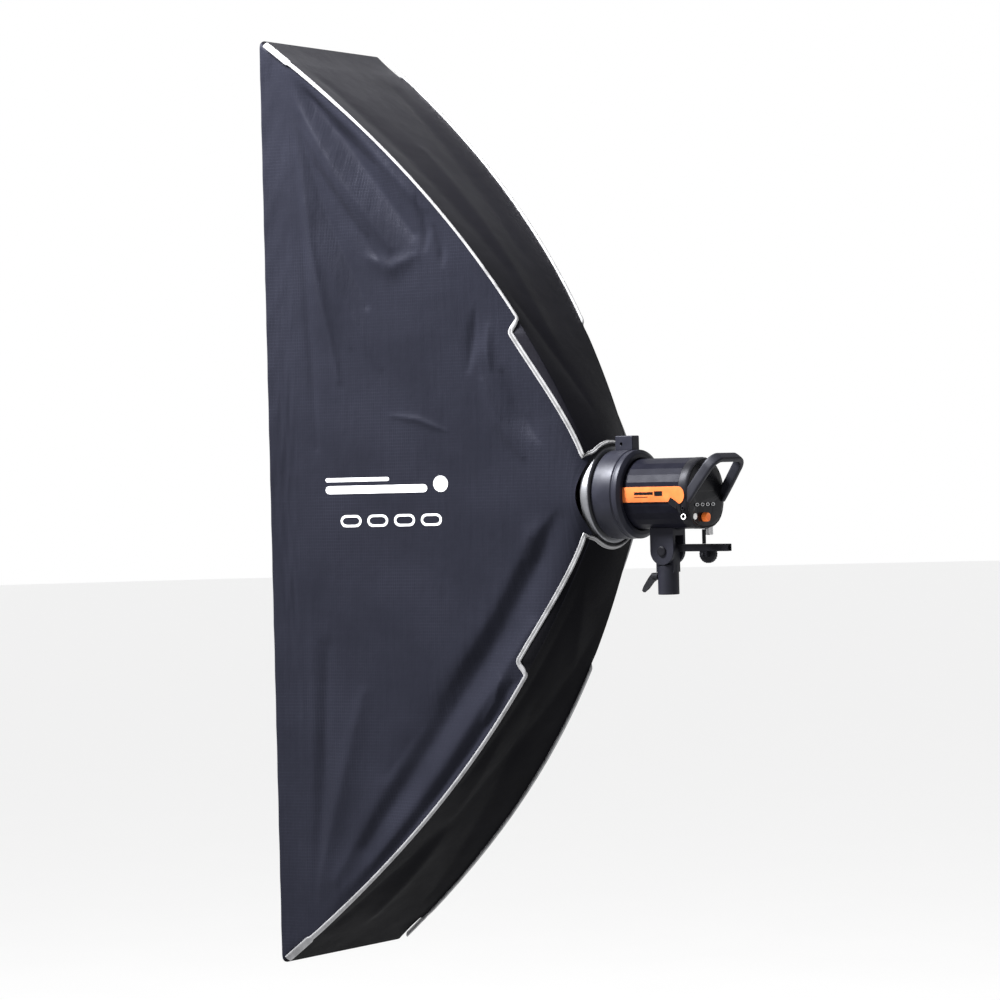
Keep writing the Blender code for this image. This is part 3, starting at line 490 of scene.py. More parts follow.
def moulded(name, colour, roughness, grain=700.0, depth=0.00012, coat=0.0, gloss=0.20):
    """Spark-eroded plastic with handling marks."""
    m = Nodes(name, colour, roughness)
    m.tint(m.noise(45.0, 5.0), tuple(min(1.0, c * 1.35 + 0.002) for c in colour), 0.45, 0.75)
    m.rough(m.noise(70.0, 4.0), roughness - 0.08, roughness + 0.12)
    m.bump(m.noise(grain, 2.0), 0.3, depth)
    m.put("Coat Weight", coat)
    m.put("Specular IOR Level", gloss)
    m.put("Specular Tint", (0.88, 0.90, 1.0, 1.0))
    return m.mat


def metal(name, colour, roughness, stretch=(1, 1, 40)):
    """Turned or brushed metal with fine streaks."""
    m = Nodes(name, colour, roughness, 1.0)
    streaks = m.noise(60.0, 4.0, m.coordinates(scale=stretch))
    m.tint(streaks, scaled(colour, 0.8))
    m.rough(streaks, roughness - 0.06, roughness + 0.12)
    m.bump(streaks, 0.12, 0.0001)
    return m.mat


def glass(name, colour, roughness):
    """Clear lamp glass, a little uneven."""
    m = Nodes(name, colour, roughness)
    m.put("Transmission Weight", 0.75)
    m.rough(m.noise(90.0, 3.0), roughness, roughness + 0.12)
    return m.mat


LOOK = {
    "side": ripstop("ripstop_side", (0.0115, 0.0121, 0.0180), (0.034, 0.036, 0.052), 0.42, 0.045, 0.008,
                    creases=0.22),
    # Painted shade: the top and bottom panels are the side panels' nylon, given darker copies of its colour
    # for the light that they miss.
    "top": ripstop("ripstop_top_painted_shade", (0.0055, 0.0052, 0.0072), (0.014, 0.0135, 0.018), 0.50, 0.12),
    "base": ripstop("ripstop_base_painted_shade", (0.0040, 0.0040, 0.0048), (0.009, 0.009, 0.011), 0.62, 0.02, 0.0),
    "silver": cloth("silver_lining", (0.62, 0.63, 0.65), 0.42, 500.0, 0.1),
    "hem": cloth("hem_cloth", (0.020, 0.020, 0.026), 0.7),
    "piping": piping_look("reflective_piping", (0.33, 0.33, 0.34), 0.42),
    # Painted shade: a darker copy of the piping tape for the middle of its groove.
    "piping_groove_painted_shade": piping_look("piping_groove_painted_shade", (0.16, 0.16, 0.165), 0.5),
    # Painted shade: the lower half's piping is the same tape, with a darker colour.
    "piping_lower_painted_shade": piping_look("piping_lower_painted_shade", (0.24, 0.24, 0.25), 0.46),
    "white_cloth": cloth("diffuser_cloth", (0.50, 0.50, 0.49), 0.75, 1200.0, 0.2),
    "webbing": cloth("webbing", (0.018, 0.018, 0.021), 0.8, 400.0),
    "print": cloth("white_print", (0.80, 0.81, 0.83), 0.5, 900.0, 0.0),
    "rod": moulded("glass_fibre", (0.022, 0.022, 0.024), 0.32),
    "aluminium": metal("ring_aluminium", (0.25, 0.255, 0.272), 0.50),
    "steel": metal("bright_steel", (0.60, 0.60, 0.61), 0.24),
    "collar": moulded("collar_plastic", (0.0098, 0.0102, 0.0160), 0.42),
    "shell": moulded("shell_paint", (0.0055, 0.0056, 0.0095), 0.34, 500.0, 0.00008, 0.0, 0.035),
    "housing": moulded("housing_plastic", (0.0070, 0.0070, 0.0088), 0.40, gloss=0.09),
    "panel": moulded("gloss_black", (0.0035, 0.0035, 0.0045), 0.2, 300.0, 0.00002),
    "orange": moulded("orange_plastic", (0.50, 0.120, 0.030), 0.36, 500.0, 0.00006, 0.1),
    # Painted light: the dial is the stripe's orange plastic, with a brighter copy of its colour against the
    # shadow it sits in.
    "dial": moulded("dial_orange", (0.90, 0.190, 0.035), 0.40, 500.0, 0.00006, 0.1),
    "white": moulded("white_plastic", (0.80, 0.80, 0.78), 0.38, 600.0, 0.00005),
    "key": moulded("key_rubber", (0.006, 0.006, 0.007), 0.5),
    "bracket": moulded("bracket_nylon", (0.0080, 0.0082, 0.0125), 0.48, 420.0, 0.0002),
    "handle": moulded("handle_plastic", (0.0095, 0.0098, 0.0135), 0.5, 420.0, 0.00018),
    "knob": moulded("soft_knob", (0.008, 0.008, 0.0095), 0.62, 500.0, 0.0002),
    "ceramic": moulded("ceramic_plate", (0.74, 0.73, 0.69), 0.5),
    "lamp": glass("lamp_glass", (0.92, 0.92, 0.88), 0.12),
}
# The end panels' looks by half: the darker copies of the nylon, which are painted shade.
END_LOOK_PAINTED_SHADE = {"upper": LOOK["top"], "lower": LOOK["base"]}


# ---- cover --------------------------------------------------------------
def panel_masks(t, edge):
    """Folds fade out at the seams, at the hem and at the ring."""
    return smooth((HEM_T - t) / 0.05) * smooth(t / 0.04) * smooth((1 - np.abs(edge)) / 0.05)


def integral(values, along):
    return float(((values[1:] + values[:-1]) / 2 * np.diff(along)).sum())


SEWN = T_TABLE <= HEM_T
SIDE_AREA = integral(Z_TABLE[SEWN], -Y_TABLE[SEWN]) * FOLD_ALLOWANCE


def finish_cloth(obj, node):
    """Stand for the CAD's panel, which is hidden, and bake the piece's place into its mesh."""
    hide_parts(node)
    fold_with(obj)


def make_side_panels():
    rows, columns = SIDE_GRID
    for half, h in HALVES.items():
        t, v = grid(np.linspace(0, HEM_T + HEM_OVERLAP, rows), h * np.linspace(0, 1, columns))
        length = np.interp(t, T_TABLE, LENGTH_TABLE)
        for side, s in SIDES.items():
            x, y, z = side_surface(t, v)
            x = x + side_relief(side, half, t, v, y, z)
            obj = sheet_object(f"cover_side_{side}_{half}", stack(x * s, y, z + AXIS_Z), stack(length, z),
                               LOOK["side"], (s, 0, 0), LOOK["silver"])
            finish_cloth(obj, f"side_panel_{side}")


def side_relief(side, half, t, v, y, z):
    """Folds and ripples of a side panel, outward."""
    folds = NEAR_UPPER if half == "upper" else NEAR_LOWER
    if side == "left":
        folds = [([(d + FAR_SHIFT, a * 0.97) for d, a in line], w * 1.1, rise * 0.85)
                 for line, w, rise in folds]
    out = fold_height(folds, y - FRONT_Y, z) * smooth(np.abs(z) / 0.05)
    out = out + ripple(y - FRONT_Y, z, 7 if side == "right" else 11)
    return out * panel_masks(t, v)


def make_top_and_bottom():
    rows, columns = END_GRID
    t, u = grid(np.linspace(0, HEM_T + HEM_OVERLAP, rows), np.linspace(-1, 1, columns))
    length = np.interp(t, T_TABLE, LENGTH_TABLE)
    for name, half, seed in (("top", "upper", 3), ("bottom", "lower", 5)):
        h = HALVES[half]
        x, y, z = top_surface(t, u)
        out = fold_height(LONG_FOLDS[name], y - FRONT_Y, x) + ripple(y - FRONT_Y, x, seed)
        z = z + out * panel_masks(t, u)
        # The end panel takes its half's darker copy of the nylon, which is painted shade.
        obj = sheet_object(f"cover_{name}", stack(x, y, h * z + AXIS_Z), stack(length, x), END_LOOK_PAINTED_SHADE[half],
                           (0, 0.3, h), LOOK["silver"])
        piping = make_piping(half, h, name)
        finish_cloth(obj, f"{name}_panel")


def round_path(half_x, half_z, radius, h):
    """Half of a rounded rectangle, from the right at axis level over the top to the left."""
    corner = [(half_x - radius + radius * math.cos(a), half_z - radius + radius * math.sin(a))
              for a in np.linspace(0, math.pi / 2, 9)[1:-1]]
    points = [(half_x, z) for z in np.linspace(0, half_z - radius, 60)] + corner
    points += [(x, half_z) for x in np.linspace(half_x - radius, radius - half_x, 30)]
    points += [(-x, z) for x, z in reversed(corner)]
    points += [(-half_x, z) for z in np.linspace(half_z - radius, 0, 60)]
    return np.array(points) * (1, h)


def lip_profile():
    """(half x, half z, y, corner radius) from the hem over the front edge and back inside."""
    rows = []
    start = HEM_T - 0.006
    for t in np.linspace(start, 1, LIP_ROWS):
        x, y, z = seam(t)
        share = (t - start) / (1 - start)
        sink = 0.0008 + 0.0012 * math.sin(math.pi * share) - 0.0008 * share
        rows.append((float(x) - sink, float(z) - sink, float(y), 0.004 + 0.008 * share))
    x, y, z = (float(c) for c in seam(1))
    for a in np.linspace(0, math.pi, 9)[1:]:
        inward = LIP_ROUND * (1 - math.cos(a))
        rows.append((x - inward, z - inward, y - LIP_ROUND * math.sin(a), LIP_CORNER - inward))
    for t in np.linspace(0.99, HEM_T, 9):
        x, y, z = seam(t)
        rows.append((float(x) - 0.0056, float(z) - 0.0062, float(y), 0.006))
    return rows


def lip_row(k, count, row, h):
    """One line of points along the lip, drawn in like the panels it is sewn to, with small waves."""
    a, b, y, corner = row
    path = round_path(a, b, corner, h)
    along = np.concatenate([[0], np.cumsum(np.hypot(*np.diff(path, axis=0).T))])
    wave = LIP_WAVE * np.sin(along * 41 + k * 0.16) * math.sin(math.pi * k / (count - 1))
    side = np.sign(path[:, 0]) * (np.abs(path[:, 0]) > a - 0.001)
    if k < LIP_ROWS:
        t = float(t_at_y(y))
        out_x = side_bulge(t) * (1 - (path[:, 1] / b) ** 2)
        out_z = end_bulge(t) * (1 - (path[:, 0] / a) ** 2)
        path = path + stack(np.sign(path[:, 0]) * out_x, h * out_z)
        crease = np.sin(k * 0.66 + 1.9 * np.sin(along * 4.7))
        crease = crease * np.clip(np.sin(along * 8.3 + k * 0.05), 0, 1)
        wave = wave + LIP_CREASE * crease * math.sin(math.pi * k / (LIP_ROWS - 1))
    x = path[:, 0] - side * np.abs(wave)
    return stack(x, y + 0 * along, path[:, 1] + AXIS_Z), stack(0 * along + k * 0.004, along)


def make_front():
    """The lip of each half, sewn to the panels at the hem, then the diffuser and the inner baffle."""
    rows = lip_profile()
    for half, h in HALVES.items():
        points, uvs = zip(*(lip_row(k, len(rows), row, h) for k, row in enumerate(rows)))
        obj = sheet_object(f"lip_{half}", np.array(points), np.array(uvs), LOOK["side"], (1, 0, 0),
                           probe=(3, 20), thickness=0.0009)
        # Painted shade: the lip's faces that face up or down take the darker end-panel copy of the nylon, and
        # the faces that face sideways take the side panels' colour.
        obj.data.materials[1] = END_LOOK_PAINTED_SHADE[half]
        slots = [int(abs(f.normal.z) > abs(f.normal.x)) for f in obj.data.polygons]
        obj.data.polygons.foreach_set("material_index", slots)
        finish_cloth(obj, "front_lip")
        make_diffuser(half)
        make_baffle(half)


def white_sheet(name, half, node, x, y, z):
    obj = sheet_object(f"{name}_{half}", stack(x, y, HALVES[half] * z + AXIS_Z), stack(x, z),
                       LOOK["white_cloth"], (0, -1, 0))
    finish_cloth(obj, node)


def make_diffuser(half):
    """White front cloth, pressed on to the lip's back edge and drawn slightly into ripples."""
    x_half, y, z_half = (float(c) for c in seam(HEM_T))
    z, x = grid(np.linspace(0, z_half - 0.0075, 110), np.linspace(-1, 1, 60) * (x_half - 0.0072))
    edge = smooth((x_half - 0.007 - np.abs(x)) / 0.03) * smooth((z_half - 0.007 - z) / 0.04)
    pull = 0.0016 * np.sin(z * 90 + 6 * x) * np.exp(-((x_half - np.abs(x)) / 0.05)) * smooth(z / 0.03)
    white_sheet("diffuser", half, "front_diffuser", x, y + 0.002 - edge * (0.003 + pull), z)


def make_baffle(half):
    """Inner baffle: a white cloth whose long edges are drawn in between its elastic ties."""
    low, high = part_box("inner_baffle")
    x_half, z_half = high.x, high.z - AXIS_Z
    z, x = grid(np.linspace(0, z_half, 60), np.linspace(-1, 1, 30) * x_half)
    x = x * (1 - 0.10 * np.sin(math.pi * z / z_half) * smooth(z / 0.05))
    y = low.y + 0.004 * np.sin(math.pi * z / z_half) * (1 - (x / x_half) ** 2)
    white_sheet("baffle", half, "inner_baffle", x, y, z)


def seam_normal(t):
    """Out of the box at the corner seam, half way between its two panels, for the upper right one."""
    step = 1e-3
    _, y0, z0 = seam(np.clip(t - step, 0, 1))
    _, y1, z1 = seam(np.clip(t + step, 0, 1))
    along = stack(y1 - y0, z1 - z0)
    along /= np.linalg.norm(along, axis=-1)[..., None]
    return stack(np.full(np.shape(t), 1.0), along[..., 1], -along[..., 0]) / math.sqrt(2)


def flap_offset(t):
    """How far the piping stands in from the seam near the ring, where it edges the closing flap."""
    jog = smooth((JOG_T + JOG_HALF - t) / (2 * JOG_HALF))
    return jog * (FLAP_START + FLAP_SPREAD * smooth(t / JOG_T))


def on_side(t, inward):
    """A point of the right panel that lies inward of the seam, at the seam's own height."""
    _, y, z = seam(t)
    t_in = t_at_y(y - inward)
    _, _, z_in = seam(t_in)
    return stack(*side_surface(t_in, np.clip(z / z_in, -1, 1)))


def piping_width(t, thin):
    """Wide patch at the front corner, a step, a slow taper, and a wide double band beside the flap."""
    patch = smooth((t - PATCH_T) / 0.006)
    taper = smooth((t - TAPER_T) / 0.21)
    band = smooth((JOG_T + DOUBLE_T - t) / DOUBLE_T)
    return thin + patch * 0.0042 + taper * 0.0022 + band * (PIPING_BAND - thin)


def make_piping(half, h, name):
    """Reflective edging: corner, seam, jog round the closing flap, then over the ring to the other side."""
    t = np.concatenate([np.linspace(0.986, 0.935, 16), np.linspace(0.932, 0.920, 8),
                        np.linspace(0.91, JOG_T + 0.04, 64), np.linspace(JOG_T + 0.038, JOG_T - 0.04, 40),
                        np.linspace(JOG_T - 0.044, 0.001, 34)])
    inward = flap_offset(t)
    normal = np.where((inward > 0.002)[:, None], np.array([1.0, 0.12, 0]), seam_normal(t))
    proud = PIPING_PROUD - 0.0014 * smooth((t - 0.90) / 0.04)
    points = on_side(t, inward) + normal * proud[:, None]
    start = math.atan2(points[-1][2], points[-1][0])
    angles = np.linspace(start, math.pi - start, 30)[1:-1]
    away = np.minimum(angles - start, math.pi - start - angles)
    near_end = np.exp(-(away / PIPING_JOIN) ** 2)
    ring_radius, ring_y = COVER_RING_RADIUS + PIPING_OFF_RING, COVER_Y + PIPING_OFF_RING
    radius = ring_radius + (math.hypot(points[-1][0], points[-1][2]) - ring_radius) * near_end
    arc_y = ring_y + (points[-1][1] - ring_y) * near_end
    arc = stack(radius * np.cos(angles), arc_y, radius * np.sin(angles))
    arc_normal = stack(np.cos(angles), 0.7 + 0 * angles, np.sin(angles))
    end_normal = normal[-1] * stack(np.sign(np.cos(angles)), 1 + 0 * angles, 1 + 0 * angles)
    arc_normal = arc_normal + (end_normal - arc_normal) * near_end[:, None]
    mirror = (-1, 1, 1)
    path = np.concatenate([points, arc, points[::-1] * mirror]) * (1, 1, h) + (0, 0, AXIS_Z)
    normals = np.concatenate([normal, arc_normal, normal[::-1] * mirror]) * (1, 1, h)
    width = piping_width(t, PIPING_THIN[half])
    widths = np.concatenate([width, np.full(len(arc), PIPING_ARC), width[::-1]])
    groove = smooth((JOG_T - t) / 0.012) * PIPING_GROOVE
    grooves = np.concatenate([groove, np.full(len(arc), PIPING_GROOVE), groove[::-1]])
    # Painted shade: the lower half takes the darker copy of the tape, and the groove's middle takes the
    # darker groove look.
    looks = [LOOK["piping" if half == "upper" else "piping_lower_painted_shade"], LOOK["piping_groove_painted_shade"]]
    obj = ribbon(f"piping_{half}", path, normals, widths, PIPING_THICK, looks, grooves)
    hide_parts(f"{name}_panel")
    fold_with(obj)
    return obj


def make_flaps():
    """The closing flap between the seam and the set-in piping, beside the ring; its darker cloth is painted
    shade.
    """
    t = np.linspace(0.006, JOG_T + 0.008, 60)
    inward = flap_offset(t)
    rise = FLAP_RISE * np.sin(math.pi * np.linspace(0.15, 0.85, 8))
    upper_right = np.stack([on_side(t, inward * share) for share in np.linspace(0, 1, 8)], 1)
    upper_right[..., 0] += rise[None, :] * smooth((JOG_T - t) / 0.02)[:, None] + 0.0004
    for half, h in HALVES.items():
        for side, s in SIDES.items():
            points = upper_right * (s, 1, h) + (0, 0, AXIS_Z)
            # Painted shade: the flap takes its half's darker copy of the nylon.
            obj = sheet_object(f"flap_{half}_{side}", points, points[..., 1:], END_LOOK_PAINTED_SHADE[half], (s, 0, 0),
                               thickness=THIN_CLOTH)
            finish_cloth(obj, f"side_panel_{side}")


def make_ring_sleeve():
    """Gathered elastic sleeve that closes the cover on to the ring."""
    share, angle = grid(np.linspace(0, 1, 14), np.linspace(0, 2 * math.pi, 200))
    gather = 0.0005 * np.sin(angle * 60) * np.sin(math.pi * share)
    inner = RING_RADIUS + 0.0012
    radius = COVER_RING_RADIUS - 0.0008 + (inner - COVER_RING_RADIUS) * smooth(share / 0.6) + gather
    y = COVER_Y - 0.0006 - SCALLOP * np.cos(angle) ** 4 - 0.007 * share
    points = stack(radius * np.cos(angle), y, radius * np.sin(angle) + AXIS_Z)
    obj = sheet_object("ring_sleeve", points, stack(share * 0.01, angle * RING_RADIUS), LOOK["hem"],
                       (0, 1, 0), thickness=THIN_CLOTH)
    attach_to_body(obj, "softbox")


def capsule(near, far, low, high, blunt=0.02):
    """Grid of depth and height over a bar with round ends; blunt cuts off the very tips."""
    depth = near + (far - near) * (1 - np.cos(np.linspace(0, math.pi, 34))) / 2
    radius, middle = (high - low) / 2, (low + high) / 2
    reach = np.clip(np.minimum(depth - near, far - depth) / radius, blunt, 1)
    half = radius * np.sqrt(1 - (1 - reach) ** 2)
    depth, across = grid(depth, np.linspace(-1, 1, 9))
    return depth, middle + half[:, None] * across


def print_patch(name, depth, height):
    """A patch of white ink that lies a hair above the cloth of the right panel."""
    t = t_at_y(FRONT_Y + depth)
    _, _, z_edge = seam(t)
    v = height / z_edge
    half = "upper" if height.mean() > 0 else "lower"
    x, y, z = side_surface(t, v)
    x = x + side_relief("right", half, t, v, y, z) + PRINT_RISE
    obj = sheet_object(name, stack(x, y, z + AXIS_Z), stack(y, z), LOOK["print"], (1, 0, 0),
                       thickness=0.0003)
    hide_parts("side_panel_right")
    fold_with(obj)


def make_print():
    """Plain bars and rings in place of lettering."""
    for name, *edges in PRINT_BARS:
        print_patch(f"print_{name}", *capsule(*edges))
    for k in range(4):
        near = 0.118 + 0.044 * k
        depth, height = capsule(near, near + 0.034, -0.040, -0.022)
        middle = np.array([near + 0.017, -0.031])
        around = stack(*(np.concatenate([c[:, 0], c[::-1, -1], c[:1, 0]]) for c in (depth, height)))
        inner = middle + (around - middle) * (0.80, 0.62)
        ring = around[:, None, :] + (inner - around)[:, None, :] * np.linspace(0, 1, 4)[None, :, None]
        print_patch(f"print_ring_{k + 1}", ring[..., 0], ring[..., 1])


# ---- finishes on the CAD's own solids -----------------------------------
# Look by the start of the node's name; the first row that fits counts, so "rod" comes after its fittings.
FINISH = {
    "aluminium": ("rod_socket", "speed_ring"), "steel": ("rod_pin", "power_inlet", "pivot_nut"),
    "rod": ("rod_",), "webbing": ("corner_pocket",), "collar": ("mount_collar", "top_lug"),
    "shell": ("head_shell",), "panel": ("rear_panel", "display", "remote_socket"),
    "housing": ("rear_housing", "side_wedge", "sync_jack", "pivot_bolt", "umbrella_tube", "brace"),
    "key": ("menu_key",), "white": ("test_button",), "dial": ("power_dial",), "orange": ("orange",),
    "ceramic": ("lamp_plate",), "lamp": ("flash_tube", "modelling"), "handle": ("carry",),
    "bracket": ("yoke", "stand_socket"), "knob": ("friction", "stand_lock", "umbrella_clamp"),
}


def look_of(name):
    found = [look for look, starts in FINISH.items() if name.startswith(starts)]
    return LOOK[found[0]] if found else None


def finish_nodes():
    for name, obj in frame["nodes"].items():
        look = look_of(name)
        if look:
            obj.data.materials.clear()
            obj.data.materials.append(look)


BODY_OF = {node: body for body, nodes in frame["record"]["behaviour"]["bodies"].items() for node in nodes}
SOFTENED = {
    "top_lug": 0.0005, "yoke": 0.0009, "stand_socket": 0.0007, "stand_lock_lever": 0.0008,
    "pivot_bolt": 0.0003, "pivot_nut": 0.0004, "umbrella_tube": 0.0003, "umbrella_clamp_knob": 0.0003,
    "brace_strut": 0.0002, "rear_housing": 0.0, "rear_panel": 0.0,
    **{f"menu_key_{k}": 0.0003 for k in range(1, 5)}, "test_button": 0.0003, "power_dial": 0.0004,
    "sync_jack": 0.0002, "remote_socket": 0.0002, "power_inlet": 0.0003, "carry_handle": 0.0,
    "speed_ring": 0.0004, "display_window": 0.0002,
}


def attach(obj, node, slot=None, stands_for=True):
    """Ride the node's body, in the node's place or as trim on it."""
    if stands_for:
        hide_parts(node)
    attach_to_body(obj, BODY_OF[node])


def bevelled(node, name, radius, angle, look):
    """A copy of the node's solid, with the edges that are sharper than the angle rounded off."""
    mesh = frame["nodes"][node].data.copy()
    bm = bmesh.new()
    bm.from_mesh(mesh)
    bmesh.ops.remove_doubles(bm, verts=bm.verts, dist=1e-6)
    if radius:
        bmesh.ops.dissolve_limit(bm, angle_limit=NEARLY_FLAT, verts=bm.verts, edges=bm.edges)
        edges = [e for e in bm.edges if len(e.link_faces) == 2 and e.calc_face_angle(0) > angle]
        bmesh.ops.bevel(bm, geom=edges, offset=radius, segments=2, profile=0.5, affect="EDGES",
                        clamp_overlap=True)
    bm.to_mesh(mesh)
    bm.free()
    mesh.materials.clear()
    mesh.materials.append(look)
    obj = bpy.data.objects.new(name, mesh)
    bpy.context.collection.objects.link(obj)
    return obj


def make_softened():
    """The same shapes as the nodes, with rounded edges and smooth round faces."""
    for name, radius in SOFTENED.items():
        obj = bevelled(name, f"{name}_finish", radius, SOLID_BEVEL_ABOVE, look_of(name))
        obj.data.shade_smooth()
        obj.data.set_sharp_from_angle(angle=SOLID_CREASE)
        obj.modifiers.new("flat_faces", "WEIGHTED_NORMAL").keep_sharp = True
        attach(obj, name)


def rounded(points, radius=0.0006, steps=3):
    """Blunt the corners of a closed profile."""
    out = []
    count = len(points)
    for k in range(count):
        p, before, after = (Vector(points[j % count]) for j in (k, k - 1, k + 1))
        a = p + (before - p).normalized() * min(radius, (before - p).length / 2.1)
        b = p + (after - p).normalized() * min(radius, (after - p).length / 2.1)
        for i in range(steps + 1):
            w = i / steps
            out.append(tuple(a * (1 - w) ** 2 + p * 2 * w * (1 - w) + b * w * w))
    return out


def make_collar_and_ring():
    """Black collar with a groove behind its grip, and the bright band of the ring before it."""
    front, rear = COLLAR_LOW.y, COLLAR_HIGH.y
    r = COLLAR_RADIUS
    bore = HEAD_RADIUS + 0.0014
    collar = [(bore, front), (r - 0.0030, front), (r, front + 0.0040), (r, rear - 0.0150),
              (r - 0.0016, rear - 0.0134), (r - 0.0016, rear - 0.0118), (r - 0.0002, rear - 0.0104),
              (r - 0.0002, rear - 0.0040), (r - 0.0060, rear), (bore, rear)]
    obj = turned_piece("collar_body", rounded(collar), LOOK["collar"], 112)
    attach(obj, "mount_collar", "collar")
    y0, y1 = RING_LOW.y + 0.010, RING_HIGH.y
    band, inside, lap = RING_RADIUS + 0.0006, RING_RADIUS - 0.0020, COLLAR_RADIUS + 0.0006
    profile = [(inside, y0), (band, y0), (band + 0.0003, (y0 + y1) / 2), (band, y1 - 0.0008),
               (band - 0.0012, y1 + 0.0002), (lap, y1 + 0.0002), (lap, y1 - 0.0004), (inside, y1 - 0.0010)]
    obj = turned_piece("ring_band", rounded(profile, 0.0004), LOOK["aluminium"], 128)
    attach(obj, "speed_ring", "aluminium", stands_for=False)


def make_shell():
    """Faceted shell whose long edges are lightly rounded."""
    obj = bevelled("head_shell", "shell_body", 0.0004, SHELL_BEVEL_ABOVE, LOOK["shell"])
    attach(obj, "head_shell", "shell")


def side_radius(angle, y):
    """Radius of the head's skin: the round shell, then the squarer lower half of the rear housing."""
    c, s = np.abs(np.cos(angle)), np.abs(np.sin(angle))
    square = HEAD_RADIUS / (c**SQUARENESS + s**SQUARENESS) ** (1 / SQUARENESS)
    square = np.where(np.sin(angle) < 0, square, HEAD_RADIUS)
    return HEAD_RADIUS + (square - HEAD_RADIUS) * smooth((y - SHELL_HIGH.y + 0.006) / 0.006)


def trim_patch(name, side, y, low, high, rise, look, slot, node):
    """A thin raised patch on the head's side between two edges given as angles from the horizontal."""
    y, share = grid(y, np.linspace(0, 1, 15))
    angle = low[:, None] + (high - low)[:, None] * share
    radius = side_radius(angle, y) + rise
    points = stack(side * radius * np.cos(angle), y, radius * np.sin(angle) + AXIS_Z)
    obj = sheet_object(name, points, stack(y, angle * HEAD_RADIUS), LOOK[look], (side, 0, 0),
                       thickness=0.0008)
    attach(obj, node, slot)


def make_trim():
    """Orange stripe with a round rear end and a notch, and the dark wedge whose tip fills the notch."""
    top, bottom, tip = math.radians(11.6), math.radians(-12.6), math.radians(-5.5)
    start, end, apex = COLLAR_HIGH.y - 0.001, 0.0632, 0.0400
    notch, wedge_end = apex - 0.0045, 0.0555
    tall = HEAD_RADIUS * (top - bottom) / 2
    y = np.concatenate([np.linspace(start, notch, 30), np.linspace(apex - 0.004, apex, 9)[:-1],
                        np.linspace(apex, end - tall, 14),
                        end - tall + tall * np.sin(np.linspace(0.1, math.pi / 2 - 0.02, 16))])
    round_off = np.sqrt(np.clip(1 - (np.clip(y - end + tall, 0, tall) / tall) ** 2, 0, 1))
    high = np.full(y.shape, top)
    notched = np.interp(y, [start, notch, apex, end - tall * 0.8], [bottom, bottom, tip, bottom - 0.055])
    for name, side, low in (("right", 1, notched), ("left", -1, np.full(y.shape, bottom))):
        middle = (high + low) / 2
        edges = (middle - (middle - low) * round_off, middle + (high - middle) * round_off)
        trim_patch(f"stripe_{name}", side, y, *edges, 0.0009, "orange", "orange", f"orange_stripe_{name}")
    y = np.concatenate([np.linspace(notch, apex, 10), np.linspace(apex, wedge_end, 20)[1:]])
    high = np.interp(y, [notch, apex, wedge_end], [bottom - 0.02, tip - 0.02, bottom - 0.05])
    low = np.interp(y, [notch, wedge_end], [bottom - 0.06, bottom - 0.33])
    trim_patch("wedge", 1, y, low, high, 0.0008, "panel", "housing", "side_wedge")
    for name, near, far, below, above in STRIPE_MARKS:
        y = start + np.linspace(near, far, 12)
        low, high = (np.full(12, math.radians(angle)) for angle in (below, above))
        trim_patch(f"stripe_mark_{name}", 1, y, low, high, 0.00115, "panel", "housing", "orange_stripe_right")


def make_socket_ring():
    """White rim round the remote socket on the head's right side."""
    low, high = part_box("remote_socket")
    radius = (high.z - low.z) / 2
    inner, outer, foot, crest = radius * 0.70, radius * 1.05, high.x + 0.0003, high.x + 0.0010
    profile = rounded([(inner, foot), (outer, foot), (outer, crest), (inner, crest)], 0.0002)
    obj = turned_piece("socket_rim", profile, LOOK["print"], 48, (low + high) / 2, "X")
    attach(obj, "remote_socket", "white", stands_for=False)


def make_key_outlines():
    """A pale printed oval on each menu key."""
    a = np.linspace(0, 2 * math.pi, 33)
    for k in range(1, 5):
        low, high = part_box(f"menu_key_{k}")
        middle = (low + high) / 2
        oval = stack(np.cos(a) * (high.x - low.x) / 2, np.sin(a) * (high.z - low.z) / 2)
        ring = oval[:, None, :] * np.linspace(1.10, 0.84, 3)[None, :, None]
        points = stack(middle.x + ring[..., 0], np.full(ring.shape[:2], high.y + 0.0003),
                       middle.z + ring[..., 1])
        obj = sheet_object(f"key_outline_{k}", points, ring, LOOK["print"], (0, 1, 0), thickness=0.0002)
        attach(obj, f"menu_key_{k}", "white", stands_for=False)


# ---- stage --------------------------------------------------------------
def make_camera():
    """At the photograph's angle: behind the box, to its right, level with the axis."""
    level = math.cos(CAMERA_ELEVATION)
    back = Vector((math.sin(CAMERA_AZIMUTH) * level, -math.cos(CAMERA_AZIMUTH) * level,
                   math.sin(CAMERA_ELEVATION)))
    right = Vector((0, 0, 1)).cross(back).normalized()
    up = back.cross(right)
    turned_right = right * math.cos(CAMERA_ROLL) + up * math.sin(CAMERA_ROLL)
    turned_up = up * math.cos(CAMERA_ROLL) - right * math.sin(CAMERA_ROLL)
    data = bpy.data.cameras.new("camera")
    data.sensor_width = 36.0
    data.lens = CAMERA_LENS
    data.clip_end = 100.0
    camera = bpy.data.objects.new("camera", data)
    turn = Matrix((turned_right, turned_up, back)).transposed().to_4x4()
    camera.matrix_world = Matrix.Translation(CAMERA_TARGET + back * CAMERA_DISTANCE) @ turn
    bpy.context.collection.objects.link(camera)
    bpy.context.scene.camera = camera


def area_light(name, place, aim, size, power):
    data = bpy.data.lights.new(name, "AREA")
    data.shape = "RECTANGLE"
    data.size, data.size_y = size
    data.energy = power
    lamp = bpy.data.objects.new(name, data)
    lamp.location = place
    lamp.rotation_euler = (Vector(aim) - Vector(place)).to_track_quat("-Z", "Y").to_euler()
    bpy.context.collection.objects.link(lamp)


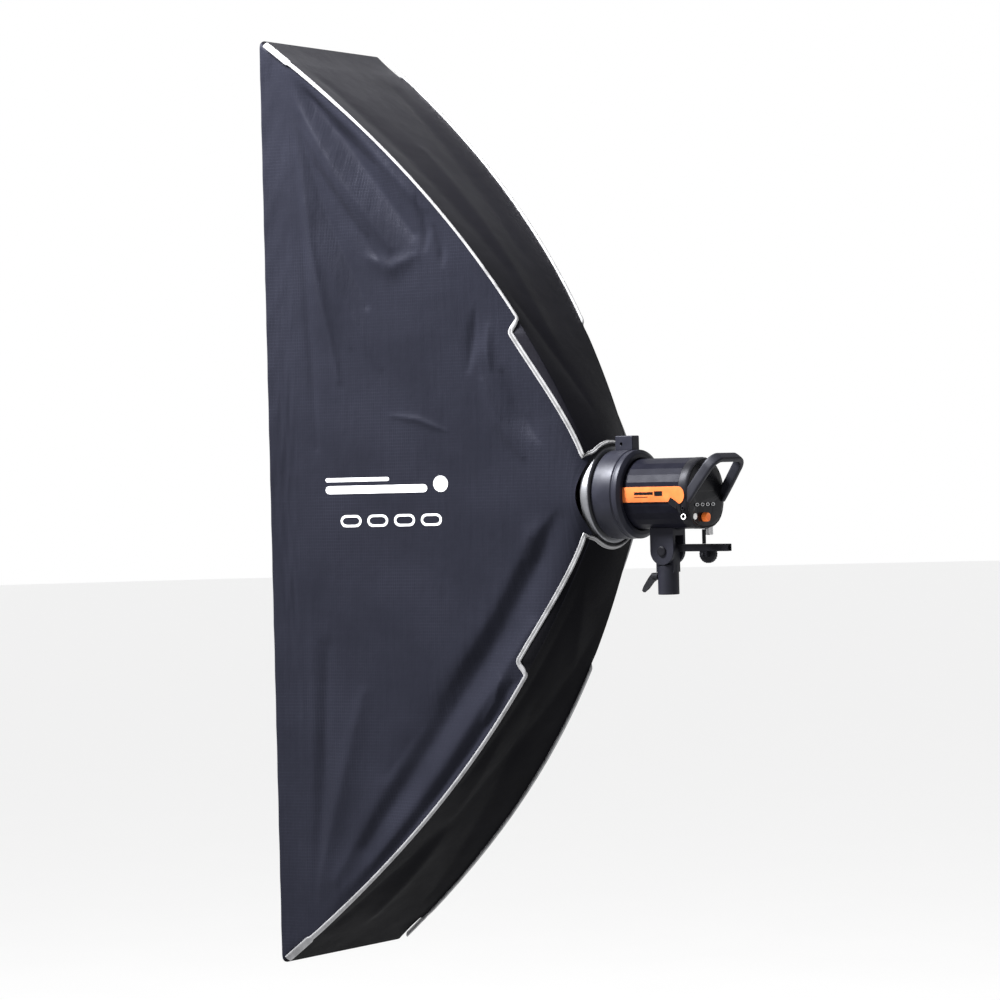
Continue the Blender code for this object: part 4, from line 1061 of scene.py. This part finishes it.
def make_stage():
    """A pale floor that gives some light of its own, the room and the lights."""
    bm = bmesh.new()
    bmesh.ops.create_circle(bm, cap_ends=True, segments=96, radius=40.0)
    mesh = bpy.data.meshes.new("floor")
    bm.to_mesh(mesh)
    bm.free()
    floor = bpy.data.objects.new("floor", mesh)
    floor.location = (0, 0, AXIS_Z - FLOOR_DROP)
    m = Nodes("pale_floor", (0.16, 0.16, 0.16), 0.8)
    m.tint(m.noise(3.0), (0.15, 0.15, 0.15))
    m.put("Emission Color", (1, 1, 1, 1)).put("Emission Strength", 0.80)
    mesh.materials.append(m.mat)
    bpy.context.collection.objects.link(floor)
    make_world()
    bpy.context.scene.view_settings.view_transform = "Standard"
    for light in LIGHTS:
        area_light(*light)


def make_world():
    """A studio with a lit backdrop behind the object, dimmer walls beside the camera and a dark ceiling."""
    world = bpy.data.worlds.new("studio")
    world.use_nodes = True
    tree = world.node_tree
    direction = add_node(tree, "ShaderNodeTexCoord").outputs["Generated"]
    height = add_node(tree, "ShaderNodeSeparateXYZ", {0: direction}).outputs["Z"]
    towards = add_node(tree, "ShaderNodeVectorMath", {0: direction, 1: BACKDROP}, operation="DOT_PRODUCT")
    fades = []
    for value, start, end, first, last in ((height, 0.18, 0.45, 1.0, 0.34),
                                           (towards.outputs["Value"], 0.35, 0.70, 0.45, 1.0)):
        inputs = {"Value": value, "From Min": start, "From Max": end, "To Min": first, "To Max": last}
        fades.append(add_node(tree, "ShaderNodeMapRange", inputs, interpolation_type="SMOOTHSTEP").outputs[0])
    strength = add_node(tree, "ShaderNodeMath", dict(enumerate(fades)), operation="MULTIPLY")
    background = tree.nodes["Background"].inputs
    tree.links.new(strength.outputs[0], background["Strength"])
    background["Color"].default_value = (1, 1, 1, 1)
    bpy.context.scene.world = world


make_camera()
make_stage()
finish_nodes()
make_side_panels()
make_top_and_bottom()
make_front()
make_flaps()
make_ring_sleeve()
make_print()
make_softened()
make_collar_and_ring()
make_shell()
make_trim()
make_socket_ring()
make_key_outlines()

bpy.context.view_layer.update()
